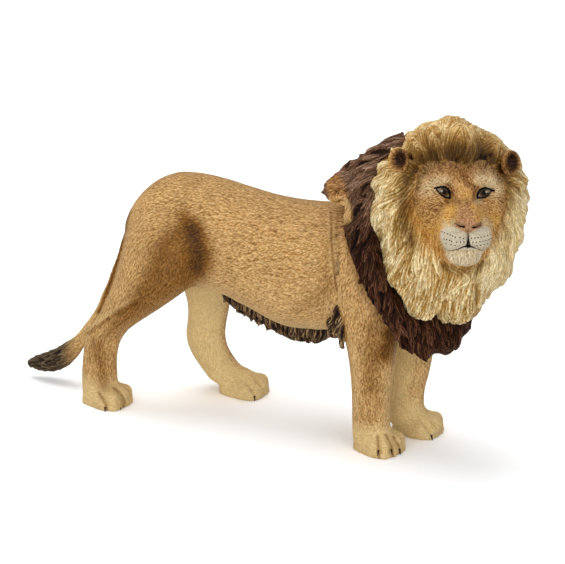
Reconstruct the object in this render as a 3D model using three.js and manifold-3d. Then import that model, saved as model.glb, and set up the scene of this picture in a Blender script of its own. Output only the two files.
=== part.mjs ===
// Toy lion, standing with its head turned to its right: solid soft PVC mouldings, glued together at pegs.
// Millimetres. +X runs from the rump to the chest, +Y to the animal's left, +Z up from the soles.
// The tables of sections are shares of the named sizes.
import * as THREE from 'three';
import { mergeVertices } from 'three/addons/utils/BufferGeometryUtils.js';
import Module from 'manifold-3d';

const wasm = await Module();
wasm.setup();

// Driving dimensions
const trunkLength = 68.6;
const backHeight = 52;
const trunkHalfWidth = 12;
const legHeight = 46;
const hindHalfDepth = 9.5;
const hindHalfWidth = 6.4;
const foreHalfDepth = 7.8;
const foreHalfWidth = 5.4;
const pawLength = 10.6;
const pawWidth = 9.2;
const pawHeight = 6.4;
const headLength = 25;
const headWidth = 19;
const headHeight = 19;
const headTurn = -55.5;
const headTilt = 9;
const headRoll = -4.5;
const ruffWidth = 33;
const ruffRise = 15.4;
const ruffDrop = 28;
const ruffDepth = 15;
const collarHalfWidth = 15.6;
const tailRadius = 2.35;
const earRadius = 2.8;
const earThickness = 2.4;
const fringeHalfThickness = 2.1;

// Fits and fine sizes
const glueGap = 0.32;
const pegClearance = 0.3;
const overrun = 4;
const weldTolerance = 1e-4;
const legPegRadius = 2.1;
const legPegLength = 6.2;
const neckPegRadius = 3;
const smallPegRadius = 0.8;
const smallPegLength = 4.6;

const X = new THREE.Vector3(1, 0, 0);
const Y = new THREE.Vector3(0, 1, 0);
const Z = new THREE.Vector3(0, 0, 1);

function toSolid(geometry) {
  const bare = geometry.clone();
  bare.deleteAttribute('normal');
  bare.deleteAttribute('uv');
  const merged = mergeVertices(bare, weldTolerance);
  return new wasm.Manifold(new wasm.Mesh({
    numProp: 3,
    vertProperties: merged.attributes.position.array,
    triVerts: new Uint32Array(merged.index.array),
  }));
}

function toGeometry(solid) {
  const mesh = solid.getMesh();
  const geometry = new THREE.BufferGeometry();
  geometry.setAttribute('position', new THREE.BufferAttribute(mesh.vertProperties, 3));
  geometry.setIndex(new THREE.BufferAttribute(mesh.triVerts, 1));
  return geometry.toNonIndexed();
}

function placed(geometry, matrix) {
  return toSolid(geometry.clone().applyMatrix4(matrix));
}

function joinAll(solids) {
  return solids.reduce((whole, solid) => whole.add(solid));
}

function cutAll(solid, cutters) {
  return cutters.reduce((rest, cutter) => rest.subtract(cutter), solid);
}

// The largest body of a solid that a cut may have left in several
function largest(solid) {
  return solid.decompose().sort((a, b) => b.volume() - a.volume())[0];
}

// A closed grid of points: rows run along the piece, columns round it. Open ends are closed with fans.
function gridSolid(rows, ringed) {
  const across = rows[0].length;
  const points = rows.flat();
  const faces = [];
  const spans = ringed ? rows.length : rows.length - 1;
  for (let i = 0; i < spans; i++) {
    const here = i * across;
    const next = ((i + 1) % rows.length) * across;
    for (let k = 0; k < across; k++) {
      const beside = (k + 1) % across;
      faces.push(here + k, here + beside, next + beside, here + k, next + beside, next + k);
    }
  }
  if (!ringed) {
    const centreOf = (row) => row.reduce((sum, p) => sum.add(p), new THREE.Vector3()).divideScalar(across);
    const last = (rows.length - 1) * across;
    const startPole = points.push(centreOf(rows[0])) - 1;
    const endPole = points.push(centreOf(rows.at(-1))) - 1;
    for (let k = 0; k < across; k++) {
      const beside = (k + 1) % across;
      faces.push(startPole, beside, k, endPole, last + k, last + beside);
    }
  }
  const geometry = new THREE.BufferGeometry().setFromPoints(points);
  geometry.setIndex(faces);
  return toSolid(geometry);
}

// Resamples a table of numbers with a smooth curve through its rows
function resample(table, count) {
  const width = table[0].length;
  const spots = table.map((row, i) => i);
  const curve = new THREE.CubicInterpolant(spots, table.flat(), width, new Float32Array(width));
  return Array.from({ length: count }, (_, i) => {
    return Array.from(curve.evaluate((i * (table.length - 1)) / (count - 1)));
  });
}

// A loft through egg-shaped sections. Each station has a centre, the directions side and up,
// and its radii to the side, against it, up and down. Growing it makes the same shape with a clearance.
function loft(stations, sides, grow = 0) {
  const rows = stations.map((station, i) => {
    const isEnd = i === 0 || i === stations.length - 1;
    const outward = new THREE.Vector3();
    if (isEnd) {
      const inner = stations[i === 0 ? 1 : stations.length - 2];
      outward.subVectors(station.centre, inner.centre).setLength(grow);
    }
    return Array.from({ length: sides }, (_, k) => {
      const angle = (k / sides) * 2 * Math.PI;
      const across = Math.cos(angle);
      const along = Math.sin(angle);
      const acrossReach = across * ((across > 0 ? station.left : station.right) + grow);
      const alongReach = along * ((along > 0 ? station.top : station.bottom) + grow);
      return station.centre.clone().add(outward)
        .addScaledVector(station.side, acrossReach)
        .addScaledVector(station.up, alongReach);
    });
  });
  return gridSolid(rows, false);
}

// A cylinder from one point to another, for pegs and their sockets
function rod(from, to, radius, sides = 14) {
  const axis = new THREE.Vector3().subVectors(to, from);
  const matrix = new THREE.Matrix4().compose(
    from.clone().addScaledVector(axis, 0.5),
    new THREE.Quaternion().setFromUnitVectors(Y, axis.clone().normalize()),
    new THREE.Vector3(1, 1, 1),
  );
  return placed(new THREE.CylinderGeometry(radius, radius, axis.length(), sides), matrix);
}

// An egg or ball, for toes and other rounded forms
function egg(centre, half, columns, rows, turn = new THREE.Quaternion()) {
  const matrix = new THREE.Matrix4().compose(centre, turn, half);
  return placed(new THREE.SphereGeometry(1, columns, rows), matrix);
}

// Trunk: one solid moulding from the rump to the chest, with the neck stub that the mane and head sit on.
// Columns: along the trunk, top and underside of it, half width.
const trunkShares = [
  [0.000, 0.779, 0.692, 0.350],
  [0.015, 0.838, 0.642, 0.517],
  [0.052, 0.902, 0.596, 0.692],
  [0.089, 0.946, 0.569, 0.767],
  [0.155, 0.988, 0.538, 0.817],
  [0.271, 0.992, 0.519, 0.833],
  [0.388, 0.967, 0.506, 0.883],
  [0.504, 0.946, 0.479, 0.950],
  [0.621, 0.948, 0.454, 1.000],
  [0.738, 0.962, 0.442, 0.975],
  [0.840, 0.954, 0.462, 0.892],
  [0.934, 0.896, 0.529, 0.700],
  [1.000, 0.798, 0.606, 0.400],
];
const trunkWaistShare = 0.46;
const neckRadius = 9.4;
const neckTopShare = 0.72;
const neckFootAlongShare = 0.792;
const neckFootHeightShare = 0.76;
const trunkRings = 19;
const trunkSides = 22;

function trunkStations() {
  return resample(trunkShares, trunkRings).map(([along, top, bottom, half]) => {
    const upper = top * backHeight;
    const lower = bottom * backHeight;
    const middle = lower + (upper - lower) * trunkWaistShare;
    return {
      centre: new THREE.Vector3(along * trunkLength, 0, middle),
      side: Y, up: Z, top: upper - middle, bottom: middle - lower,
      left: half * trunkHalfWidth, right: half * trunkHalfWidth,
    };
  });
}

// The skull's centre, ahead of and above the chest, and the head's own directions
const headAheadShare = 1.1356;
const headHeightShare = 1.1;
const headOffsetShare = 0.308;
const headCentre = new THREE.Vector3(
  headAheadShare * trunkLength, -headOffsetShare * trunkHalfWidth, headHeightShare * backHeight,
);
const headQuaternion = new THREE.Quaternion()
  .setFromAxisAngle(Z, THREE.MathUtils.degToRad(headTurn))
  .multiply(new THREE.Quaternion().setFromAxisAngle(Y, -THREE.MathUtils.degToRad(headTilt)))
  .multiply(new THREE.Quaternion().setFromAxisAngle(X, THREE.MathUtils.degToRad(headRoll)));
const headMatrix = new THREE.Matrix4().compose(headCentre, headQuaternion, new THREE.Vector3(1, 1, 1));
const headForward = X.clone().applyQuaternion(headQuaternion);
const headLeft = Y.clone().applyQuaternion(headQuaternion);
const headUp = Z.clone().applyQuaternion(headQuaternion);

function inHead(ahead, left, up) {
  return new THREE.Vector3(ahead, left, up).applyMatrix4(headMatrix);
}

const neckFoot = new THREE.Vector3(
  neckFootAlongShare * trunkLength, 0, neckFootHeightShare * backHeight,
);
const neckSetBackShare = 0.2;
const neckPegStartShare = 0.62;
const neckTop = inHead(-neckSetBackShare * headLength, 0, 0);

function neckSolid(grow) {
  const axis = new THREE.Vector3().subVectors(neckTop, neckFoot);
  const side = new THREE.Vector3().crossVectors(Z, axis).normalize();
  const up = new THREE.Vector3().crossVectors(axis, side).normalize();
  const stations = [0, 0.5, 1].map((along) => {
    const radius = neckRadius * (1 + (neckTopShare - 1) * along);
    return {
      centre: neckFoot.clone().addScaledVector(axis, along),
      side, up, left: radius, right: radius, top: radius, bottom: radius,
    };
  });
  return loft(stations, trunkSides, grow);
}

// The keyed peg on the neck: six-sided, so that the head can't turn on it
function neckPeg(clearance) {
  const start = neckFoot.clone().lerp(neckTop, neckPegStartShare);
  const axis = new THREE.Vector3().subVectors(neckTop, neckFoot).normalize();
  const end = neckTop.clone().addScaledVector(axis, clearance);
  return rod(start, end, neckPegRadius + clearance, 6);
}

function trunkBody(grow) {
  return loft(trunkStations(), trunkSides, grow).add(neckSolid(grow));
}

// Legs: solid mouldings. Columns: height, place along the trunk, half depth, half width,
// stand-out from the centre plane.
const rightHindShares = [
  [1.000, 0.187, 0.421, 0.500, 0.433],
  [0.913, 0.181, 0.884, 0.828, 0.517],
  [0.783, 0.162, 1.000, 0.984, 0.583],
  [0.652, 0.138, 1.000, 0.953, 0.633],
  [0.565, 0.093, 0.821, 0.859, 0.667],
  [0.478, 0.042, 0.658, 0.703, 0.708],
  [0.391, -0.013, 0.474, 0.578, 0.750],
  [0.304, -0.045, 0.416, 0.500, 0.775],
  [0.217, -0.053, 0.416, 0.469, 0.792],
  [0.130, -0.054, 0.432, 0.484, 0.792],
  [0.052, -0.048, 0.453, 0.562, 0.792],
];
const leftHindShares = [
  [1.000, 0.187, 0.421, 0.500, 0.433],
  [0.913, 0.190, 0.884, 0.828, 0.517],
  [0.783, 0.191, 0.968, 0.969, 0.600],
  [0.652, 0.187, 0.842, 0.891, 0.658],
  [0.565, 0.185, 0.684, 0.781, 0.708],
  [0.478, 0.188, 0.547, 0.672, 0.750],
  [0.391, 0.185, 0.484, 0.578, 0.792],
  [0.304, 0.173, 0.474, 0.516, 0.825],
  [0.239, 0.169, 0.495, 0.484, 0.833],
  [0.174, 0.188, 0.526, 0.469, 0.833],
  [0.109, 0.227, 0.547, 0.484, 0.833],
  [0.052, 0.262, 0.505, 0.562, 0.833],
];
const rightForeShares = [
  [1.000, 0.803, 0.462, 0.519, 0.517],
  [0.870, 0.840, 0.846, 0.870, 0.575],
  [0.739, 0.866, 0.949, 1.000, 0.617],
  [0.609, 0.880, 0.846, 0.963, 0.633],
  [0.522, 0.886, 0.718, 0.870, 0.633],
  [0.435, 0.888, 0.641, 0.778, 0.625],
  [0.304, 0.885, 0.551, 0.667, 0.600],
  [0.196, 0.882, 0.519, 0.630, 0.583],
  [0.109, 0.886, 0.538, 0.667, 0.583],
  [0.048, 0.892, 0.551, 0.741, 0.583],
];
const leftForeShares = [
  [1.000, 0.818, 0.462, 0.519, 0.517],
  [0.870, 0.854, 0.846, 0.870, 0.567],
  [0.739, 0.883, 0.949, 1.000, 0.600],
  [0.609, 0.899, 0.830, 0.926, 0.600],
  [0.522, 0.912, 0.710, 0.833, 0.592],
  [0.435, 0.919, 0.645, 0.741, 0.575],
  [0.304, 0.918, 0.564, 0.667, 0.550],
  [0.196, 0.905, 0.506, 0.630, 0.542],
  [0.109, 0.904, 0.513, 0.667, 0.542],
  [0.048, 0.915, 0.538, 0.741, 0.542],
];
const legRings = 14;
const legSides = 14;

// Paw: a low loft from the heel to the toes, with four toes. Columns: along, top, half width.
const pawShares = [
  [0.00, 0.30, 0.40],
  [0.10, 0.74, 0.68],
  [0.30, 1.00, 0.84],
  [0.52, 1.00, 0.95],
  [0.74, 0.84, 0.98],
  [0.88, 0.58, 0.86],
  [0.96, 0.32, 0.66],
];
const toeAcrossShares = [-0.70, -0.25, 0.25, 0.70];
const toeAlongShares = [0.67, 0.735, 0.735, 0.67];
const toeHalfWidthShare = 0.29;
const toeHalfLengthShare = 0.27;
const toeHeightShare = 0.62;
const soleSink = 0.5;

function pawSolid(leg) {
  const turn = new THREE.Quaternion().setFromAxisAngle(Z, leg.side * THREE.MathUtils.degToRad(leg.pawTurn));
  const middle = new THREE.Vector3(
    leg.pawAlongShare * trunkLength, leg.side * leg.pawOutShare * trunkHalfWidth, 0,
  );
  const inPaw = (ahead, left, up) => new THREE.Vector3(ahead, left, up).applyQuaternion(turn).add(middle);
  const stations = pawShares.map(([along, top, half]) => ({
    centre: inPaw((along - 0.5) * pawLength, 0, -soleSink),
    side: Y.clone().applyQuaternion(turn), up: Z, top: top * pawHeight, bottom: soleSink,
    left: half * pawWidth / 2, right: half * pawWidth / 2,
  }));
  const toes = toeAcrossShares.map((across, i) => {
    const half = new THREE.Vector3(
      toeHalfLengthShare * pawLength, toeHalfWidthShare * pawWidth / 2, toeHeightShare * pawHeight,
    );
    return egg(inPaw((toeAlongShares[i] - 0.5) * pawLength, across * pawWidth / 2, 0), half, 10, 8, turn);
  });
  return joinAll([loft(stations, 14), ...toes]);
}

function legShape(leg, grow) {
  const stations = resample(leg.shares, legRings).map(([height, along, depth, width, stand]) => ({
    centre: new THREE.Vector3(along * trunkLength, leg.side * stand * trunkHalfWidth, height * legHeight),
    side: Y, up: X, top: depth * leg.halfDepth, bottom: depth * leg.halfDepth,
    left: width * leg.halfWidth, right: width * leg.halfWidth,
  }));
  return loft(stations, legSides, grow);
}

// A peg runs from inside the leg into a blind socket in the trunk
function legPeg(leg, clearance) {
  const outerReach = pegStartShare * trunkHalfWidth;
  const outer = new THREE.Vector3(
    leg.pegAlongShare * trunkLength, leg.side * outerReach, pegHeightShare * legHeight,
  );
  const inner = outer.clone().setY(leg.side * (outerReach - legPegLength - clearance));
  return rod(outer, inner, legPegRadius + clearance);
}

function ground() {
  const size = 3 * trunkLength;
  const below = new THREE.Matrix4().setPosition(0, 0, -overrun / 2);
  return placed(new THREE.BoxGeometry(size, size, overrun), below);
}

function legSolid(leg) {
  const whole = legShape(leg, 0).add(pawSolid(leg)).subtract(ground());
  const cuts = [trunkBody(glueGap), elbowPeg(pegClearance)];
  return largest(cutAll(whole, cuts)).add(legPeg(leg, 0));
}

const pegStartShare = 0.95;
const pegHeightShare = 0.8;
const hind = { halfDepth: hindHalfDepth, halfWidth: hindHalfWidth, pegAlongShare: 0.17 };
const fore = { halfDepth: foreHalfDepth, halfWidth: foreHalfWidth, pegAlongShare: 0.86 };
const legs = {
  right_foreleg: {
    ...fore, side: -1, shares: rightForeShares, pawAlongShare: 0.909, pawOutShare: 0.583, pawTurn: 9,
  },
  left_foreleg: {
    ...fore, side: 1, shares: leftForeShares, pawAlongShare: 0.947, pawOutShare: 0.542, pawTurn: 4,
  },
  right_hind_leg: {
    ...hind, side: -1, shares: rightHindShares, pawAlongShare: -0.03, pawOutShare: 0.792, pawTurn: 3,
  },
  left_hind_leg: {
    ...hind, side: 1, shares: leftHindShares, pawAlongShare: 0.308, pawOutShare: 0.833, pawTurn: 3,
  },
};

// Tail: a tapering cord of PVC that hangs from the rump, runs behind the right hock and ends in the tuft.
// Columns: along the trunk, towards the animal's left, height, radius.
const tailShares = [
  [0.054, 0.000, 0.877, 0.596],
  [0.025, -0.050, 0.819, 0.596],
  [-0.007, -0.133, 0.696, 0.574],
  [-0.045, -0.217, 0.556, 0.553],
  [-0.085, -0.250, 0.431, 0.553],
  [-0.127, -0.258, 0.315, 0.574],
  [-0.175, -0.250, 0.215, 0.681],
  [-0.223, -0.250, 0.146, 0.936],
  [-0.271, -0.250, 0.100, 1.000],
  [-0.325, -0.250, 0.075, 0.766],
  [-0.379, -0.250, 0.062, 0.340],
];
const tailRings = 26;
const tailSides = 10;

function tailSpot([along, left, up]) {
  return new THREE.Vector3(along * trunkLength, left * trunkHalfWidth, up * backHeight);
}

function tailCord() {
  const rows = resample(tailShares, tailRings);
  const stations = rows.map((row, i) => {
    const before = tailSpot(rows[Math.max(i - 1, 0)]);
    const after = tailSpot(rows[Math.min(i + 1, rows.length - 1)]);
    const axis = after.sub(before).normalize();
    const side = Y.clone().addScaledVector(axis, -Y.dot(axis)).normalize();
    const up = new THREE.Vector3().crossVectors(axis, side);
    const radius = row[3] * tailRadius;
    return { centre: tailSpot(row), side, up, left: radius, right: radius, top: radius, bottom: radius };
  });
  return loft(stations, tailSides);
}

// The tail's peg runs forward from its root into a blind socket in the rump
function tailPeg(clearance) {
  const outer = tailSpot(tailShares[2]);
  const inner = outer.clone().add(new THREE.Vector3(tailRadius + smallPegLength + clearance, 0, 0));
  return rod(outer, inner, smallPegRadius + clearance, tailSides);
}

// Head: a skull with a brow, cheeks, bridge, muzzle and chin. Columns: along, half width, top, underside.
const skullShares = [
  [-0.40, 0.58, 0.53, 0.48],
  [-0.32, 0.84, 0.78, 0.74],
  [-0.15, 0.98, 0.93, 0.95],
  [0.02, 1.01, 0.96, 1.05],
  [0.14, 0.99, 0.92, 1.06],
  [0.22, 0.91, 0.80, 1.02],
  [0.28, 0.77, 0.60, 0.96],
  [0.33, 0.58, 0.36, 0.90],
];
const muzzleShares = [
  [0.20, 0.62, 0.30, 1.20],
  [0.34, 0.58, 0.10, 1.16],
  [0.46, 0.51, -0.12, 1.08],
  [0.54, 0.42, -0.28, 0.98],
  [0.60, 0.30, -0.42, 0.84],
];
const bridgeShares = [
  [0.16, 0.42, 0.72, 0.60],
  [0.28, 0.37, 0.44, 0.60],
  [0.40, 0.32, 0.14, 0.60],
  [0.52, 0.29, -0.10, 0.56],
  [0.61, 0.28, -0.24, 0.56],
  [0.65, 0.20, -0.34, 0.50],
];
// Rounded forms that stand out of the lofts on both sides.
// Columns: centre ahead, out and up, then half length, half width and half height.
const faceEggShares = [
  [0.250, 0.38, 0.42, 0.085, 0.30, 0.15],
  [0.165, 0.58, -0.42, 0.150, 0.28, 0.44],
  [0.445, 0.27, -0.77, 0.150, 0.30, 0.30],
];
const chinShares = [0.385, 0, -1.12, 0.145, 0.40, 0.27];
const headSides = 18;

function headLoft(shares, grow) {
  const stations = shares.map(([along, half, top, bottom]) => {
    const upper = top * headHeight / 2;
    const lower = -bottom * headHeight / 2;
    const middle = (upper + lower) / 2;
    return {
      centre: inHead(along * headLength, 0, middle), side: headLeft, up: headUp,
      top: upper - middle, bottom: middle - lower, left: half * headWidth / 2, right: half * headWidth / 2,
    };
  });
  return loft(stations, headSides, grow);
}

function headEgg([ahead, out, up, halfLength, halfWidth, halfHeight], side) {
  const centre = inHead(ahead * headLength, side * out * headWidth / 2, up * headHeight / 2);
  const half = new THREE.Vector3(
    halfLength * headLength, halfWidth * headWidth / 2, halfHeight * headHeight / 2,
  );
  return { centre, half };
}

function headBody(grow) {
  const lofts = [skullShares, muzzleShares, bridgeShares].map((shares) => headLoft(shares, grow));
  const forms = faceEggShares.flatMap((shares) => [headEgg(shares, -1), headEgg(shares, 1)]);
  forms.push(headEgg(chinShares, 1));
  const eggs = forms.map(({ centre, half }) => {
    return egg(centre, half.clone().addScalar(grow), 12, 8, headQuaternion);
  });
  return joinAll([...lofts, ...eggs]);
}

// Ears: a shallow cup each, on a peg that runs through the ruff into the skull
const earAheadShare = -0.07;
const rightEarOutShare = 1.24;
const leftEarOutShare = 1.04;
const earUpShare = 0.71;
const earWidthShare = 0.8;
const earTurn = 22;
const earPegAheadShare = -0.2;
const earPegDepthShare = 0.5;
const earProfileShares = [
  [0.00, 0.00], [0.55, 0.10], [0.88, 0.42], [1.00, 0.85],
  [0.90, 1.00], [0.74, 0.90], [0.46, 0.46], [0.00, 0.34],
];

function earSpot(side) {
  const out = side < 0 ? rightEarOutShare : leftEarOutShare;
  return inHead(earAheadShare * headLength, side * out * headWidth / 2, earUpShare * headHeight / 2);
}

function earFacing(side) {
  return headForward.clone().applyAxisAngle(headUp, side * THREE.MathUtils.degToRad(earTurn));
}

function earQuaternion(side) {
  const facing = earFacing(side);
  const across = new THREE.Vector3().crossVectors(facing, headUp);
  return new THREE.Quaternion().setFromRotationMatrix(new THREE.Matrix4().makeBasis(across, facing, headUp));
}

function earCup(side) {
  const outline = earProfileShares.map(([radius, depth]) => {
    return new THREE.Vector2(radius * earRadius, depth * earThickness);
  });
  const narrowed = new THREE.Vector3(earWidthShare, 1, 1);
  const matrix = new THREE.Matrix4().compose(earSpot(side), earQuaternion(side), narrowed);
  return placed(new THREE.LatheGeometry(outline, 16), matrix);
}

// The room an ear needs in the mane round it
function earPocket(side) {
  const centre = earSpot(side).addScaledVector(earFacing(side), earThickness);
  const half = new THREE.Vector3(earWidthShare * earRadius, earThickness, earRadius).addScalar(glueGap);
  return egg(centre, half, 14, 10, earQuaternion(side));
}

function earPeg(side, clearance) {
  const outer = earSpot(side).addScaledVector(earFacing(side), smallPegRadius);
  const inner = inHead(
    earPegAheadShare * headLength, side * earPegDepthShare * headWidth / 2, earPegDepthShare * headHeight / 2,
  );
  return rod(outer, inner, smallPegRadius + clearance, 10);
}

// Face ruff: a ring of mane round the face. The rim's outline runs from the animal's left, over the
// forelock, to its right and down to the two tips of the beard.
// Columns: across, up (in rises above the middle and drops below it), forward shift of the section.
const rimShares = [
  [0.970, -0.008, -0.160],
  [0.945, 0.208, -0.124],
  [0.842, 0.468, -0.273],
  [0.655, 0.669, -0.378],
  [0.461, 0.805, -0.160],
  [0.242, 0.935, 0.010],
  [-0.030, 1.000, 0.060],
  [-0.291, 0.961, 0.010],
  [-0.479, 0.818, -0.170],
  [-0.667, 0.675, -0.379],
  [-0.880, 0.468, -0.269],
  [-1.020, 0.195, -0.119],
  [-1.095, -0.015, -0.160],
  [-1.100, -0.193, -0.101],
  [-1.020, -0.375, 0.025],
  [-0.915, -0.545, 0.134],
  [-0.765, -0.700, 0.225],
  [-0.620, -0.840, 0.260],
  [-0.420, -1.000, 0.260],
  [-0.325, -0.950, 0.260],
  [-0.200, -0.890, 0.260],
  [-0.073, -0.960, 0.260],
  [0.061, -1.000, 0.260],
  [0.242, -0.965, 0.260],
  [0.424, -0.840, 0.260],
  [0.620, -0.715, 0.233],
  [0.815, -0.565, 0.141],
  [0.930, -0.330, -0.017],
  [0.958, -0.157, -0.125],
];
// The section through the ring, from inside the face over the front to the rim and back to the nape.
// Columns: out from the hairline to the rim, depth ahead of the ruff's middle, how far the locks show there.
const ruffSectionShares = [
  [-0.16, 0.26, 0.0], [0.06, 0.44, 0.3], [0.28, 0.53, 0.8], [0.54, 0.47, 1.0], [0.80, 0.26, 1.0],
  [0.96, -0.02, 0.9], [1.00, -0.20, 0.7], [0.90, -0.38, 0.3], [0.55, -0.50, 0.0], [0.10, -0.54, 0.0],
  [-0.20, -0.42, 0.0], [-0.32, -0.06, 0.0],
];
// The ring's main locks, side by side round the face: their number, how deep the furrows between them are
// as a share of the ring's width beside the cheeks, and how unevenly they are spaced
const ruffLocks = 21;
const ruffFurrowShare = 0.26;
const ruffLockUnevenShare = 0.03;
const ruffLockWaves = 3;
const hairlineHalfWidthShare = 0.96;
const hairlineRiseShare = 0.68;
const hairlineDropShare = 1.16;
const ruffSetBack = 1.6;
const beardHangShare = 0.34;
const swellMiddleShare = 0.35;
const columnsPerLock = 4;

// How far the surface sinks at a place round the ring, from 0 on a lock to -1 in a furrow
function lockSink(around) {
  const uneven = ruffLockUnevenShare * Math.sin(2 * Math.PI * ruffLockWaves * around);
  return (Math.cos(2 * Math.PI * ruffLocks * (around + uneven)) - 1) / 2;
}

function ruffSolid(grow) {
  const outline = new THREE.CatmullRomCurve3(rimShares.map((shares) => new THREE.Vector3(...shares)), true);
  const columns = ruffLocks * columnsPerLock;
  const rows = Array.from({ length: columns }, (_, i) => {
    const spot = outline.getPoint(i / columns);
    const isAbove = spot.y > 0;
    const rim = new THREE.Vector2(spot.x * ruffWidth / 2, spot.y * (isAbove ? ruffRise : ruffDrop));
    const angle = Math.atan2(rim.y, rim.x);
    const hairline = new THREE.Vector2(
      Math.cos(angle) * hairlineHalfWidthShare * headWidth / 2,
      Math.sin(angle) * (isAbove ? hairlineRiseShare : hairlineDropShare) * headHeight / 2,
    );
    const hang = Math.max(0, -spot.y) * beardHangShare;
    const outward = new THREE.Vector2(Math.cos(angle), Math.sin(angle));
    const furrow = lockSink(i / columns) * ruffFurrowShare * (ruffWidth - headWidth) / 2;
    return ruffSectionShares.map(([out, depth, shown]) => {
      const spotOut = hairline.clone().lerp(rim, out);
      const swell = new THREE.Vector2(out - swellMiddleShare, depth).setLength(grow + furrow * shown);
      spotOut.addScaledVector(outward, swell.x);
      const ahead = (depth + spot.z - hang * Math.max(0, out)) * ruffDepth - ruffSetBack;
      return inHead(ahead + swell.y, spotOut.x, spotOut.y);
    });
  });
  return gridSolid(rows, true);
}

// Mane collar: a thick sleeve of dark mane from the withers over the nape to the skull, hanging down the
// chest. Columns: its top along, out to the left and up, its lowest point the same way, half width, how
// much of that the left side has, and the turn of the section.
const collarShares = [
  [0.755, 0.000, 1.040, 1.020, 0.000, 0.431, 0.801, 0.98, 0.00],
  [0.778, 0.000, 1.125, 1.063, 0.000, 0.390, 0.923, 0.97, -0.04],
  [0.815, 0.000, 1.200, 1.101, 0.000, 0.387, 0.987, 0.90, -0.12],
  [0.872, 0.000, 1.256, 1.130, 0.000, 0.425, 1.006, 0.78, -0.24],
  [0.937, 0.050, 1.302, 1.137, 0.017, 0.512, 0.968, 0.72, -0.44],
  [1.010, 0.167, 1.331, 1.131, 0.000, 0.600, 0.923, 0.78, -0.70],
  [1.067, 0.217, 1.327, 1.114, -0.125, 0.702, 0.859, 0.80, -0.92],
  [1.112, -0.117, 1.294, 1.122, -0.425, 0.779, 0.735, 0.78, -0.97],
];
const collarRings = 12;
const collarSides = 24;

function collarSleeve() {
  const stations = resample(collarShares, collarRings).map((row) => {
    const [topAlong, topOut, top, lowAlong, lowOut, low, half, left, turn] = row;
    const upper = new THREE.Vector3(topAlong * trunkLength, topOut * trunkHalfWidth, top * backHeight);
    const lower = new THREE.Vector3(lowAlong * trunkLength, lowOut * trunkHalfWidth, low * backHeight);
    const centre = new THREE.Vector3().addVectors(upper, lower).multiplyScalar(0.5);
    const up = new THREE.Vector3().subVectors(upper, lower).normalize();
    const reach = upper.distanceTo(lower) / 2;
    const side = Y.clone().applyAxisAngle(Z, turn);
    side.addScaledVector(up, -side.dot(up)).normalize();
    return {
      centre, side, up, top: reach, bottom: reach,
      left: left * half * collarHalfWidth, right: half * collarHalfWidth,
    };
  });
  return loft(stations, collarSides);
}

// The tuft over the withers at the back of the mane
const withersAlongShare = 0.785;
const withersHeightShare = 1.04;
const withersOutShare = 0.28;
const withersHalfLength = 5.4;
const withersHalfWidth = 6.6;
const withersHalfHeight = 4.4;

function withersTuft() {
  const centre = new THREE.Vector3(
    withersAlongShare * trunkLength, -withersOutShare * trunkHalfWidth, withersHeightShare * backHeight,
  );
  return egg(centre, new THREE.Vector3(withersHalfLength, withersHalfWidth, withersHalfHeight), 12, 8);
}

// Belly fringe: a dark strip of hair with a rib that is glued in a groove under the belly.
// Columns: along the trunk, top and lowest point of the strip, half thickness.
const fringeShares = [
  [0.306, 0.596, 0.498, 0.400],
  [0.338, 0.592, 0.454, 0.750],
  [0.410, 0.565, 0.417, 0.950],
  [0.483, 0.538, 0.385, 1.000],
  [0.548, 0.508, 0.354, 1.000],
  [0.621, 0.492, 0.352, 1.000],
  [0.687, 0.500, 0.363, 0.900],
  [0.742, 0.531, 0.400, 0.500],
];
const ribThicknessShare = 0.42;
const fringeRings = 13;

function fringeStrip(thicknessShare, grow) {
  const stations = resample(fringeShares, fringeRings).map(([along, top, low, thick]) => {
    const reach = (top - low) * backHeight / 2;
    const half = thick * thicknessShare * fringeHalfThickness;
    return {
      centre: new THREE.Vector3(along * trunkLength, 0, low * backHeight + reach),
      side: Y, up: Z, top: reach, bottom: reach, left: half, right: half,
    };
  });
  return loft(stations, 12, grow);
}

// Elbow tuft: the end of the fringe that turns up behind the right elbow, on a peg in the trunk.
// Columns: height, set-back from the rear of the foreleg, radius, stand-out.
const elbowTuftShares = [
  [0.600, 0.05, 0.30, 0.717],
  [0.556, 0.23, 0.75, 0.742],
  [0.504, 0.55, 1.00, 0.758],
  [0.458, 0.50, 0.70, 0.767],
  [0.419, 0.25, 0.25, 0.767],
];
const elbowTuftRadius = 2;

// How far along the trunk the rear edge of the right foreleg is at a height
function foreRear(height) {
  const below = Math.max(1, rightForeShares.findIndex(([level]) => level * legHeight < height));
  const [level, along, depth] = rightForeShares[below - 1];
  const [lowLevel, lowAlong, lowDepth] = rightForeShares[below];
  const part = (level * legHeight - height) / ((level - lowLevel) * legHeight);
  const middle = THREE.MathUtils.lerp(along, lowAlong, part) * trunkLength;
  return middle - THREE.MathUtils.lerp(depth, lowDepth, part) * foreHalfDepth;
}

function elbowSpot([height, setBack, radius, out]) {
  const level = height * backHeight;
  const along = foreRear(level) - setBack * elbowTuftRadius;
  return new THREE.Vector3(along, -out * trunkHalfWidth, level);
}

function elbowTuft() {
  const stations = resample(elbowTuftShares, fringeRings).map((row) => {
    const radius = row[2] * elbowTuftRadius;
    return {
      centre: elbowSpot(row), side: Y, up: X, top: radius, bottom: radius, left: radius, right: radius,
    };
  });
  return loft(stations, tailSides);
}

function elbowPeg(clearance) {
  const outer = elbowSpot(elbowTuftShares[2]);
  const inner = outer.clone().add(new THREE.Vector3(0, smallPegLength + clearance, 0));
  return rod(outer, inner, smallPegRadius + clearance, tailSides);
}

const ears = { right_ear: -1, left_ear: 1 };
const earSides = Object.values(ears);
const forelegs = [legs.right_foreleg, legs.left_foreleg];
const allLegs = Object.values(legs);

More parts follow.
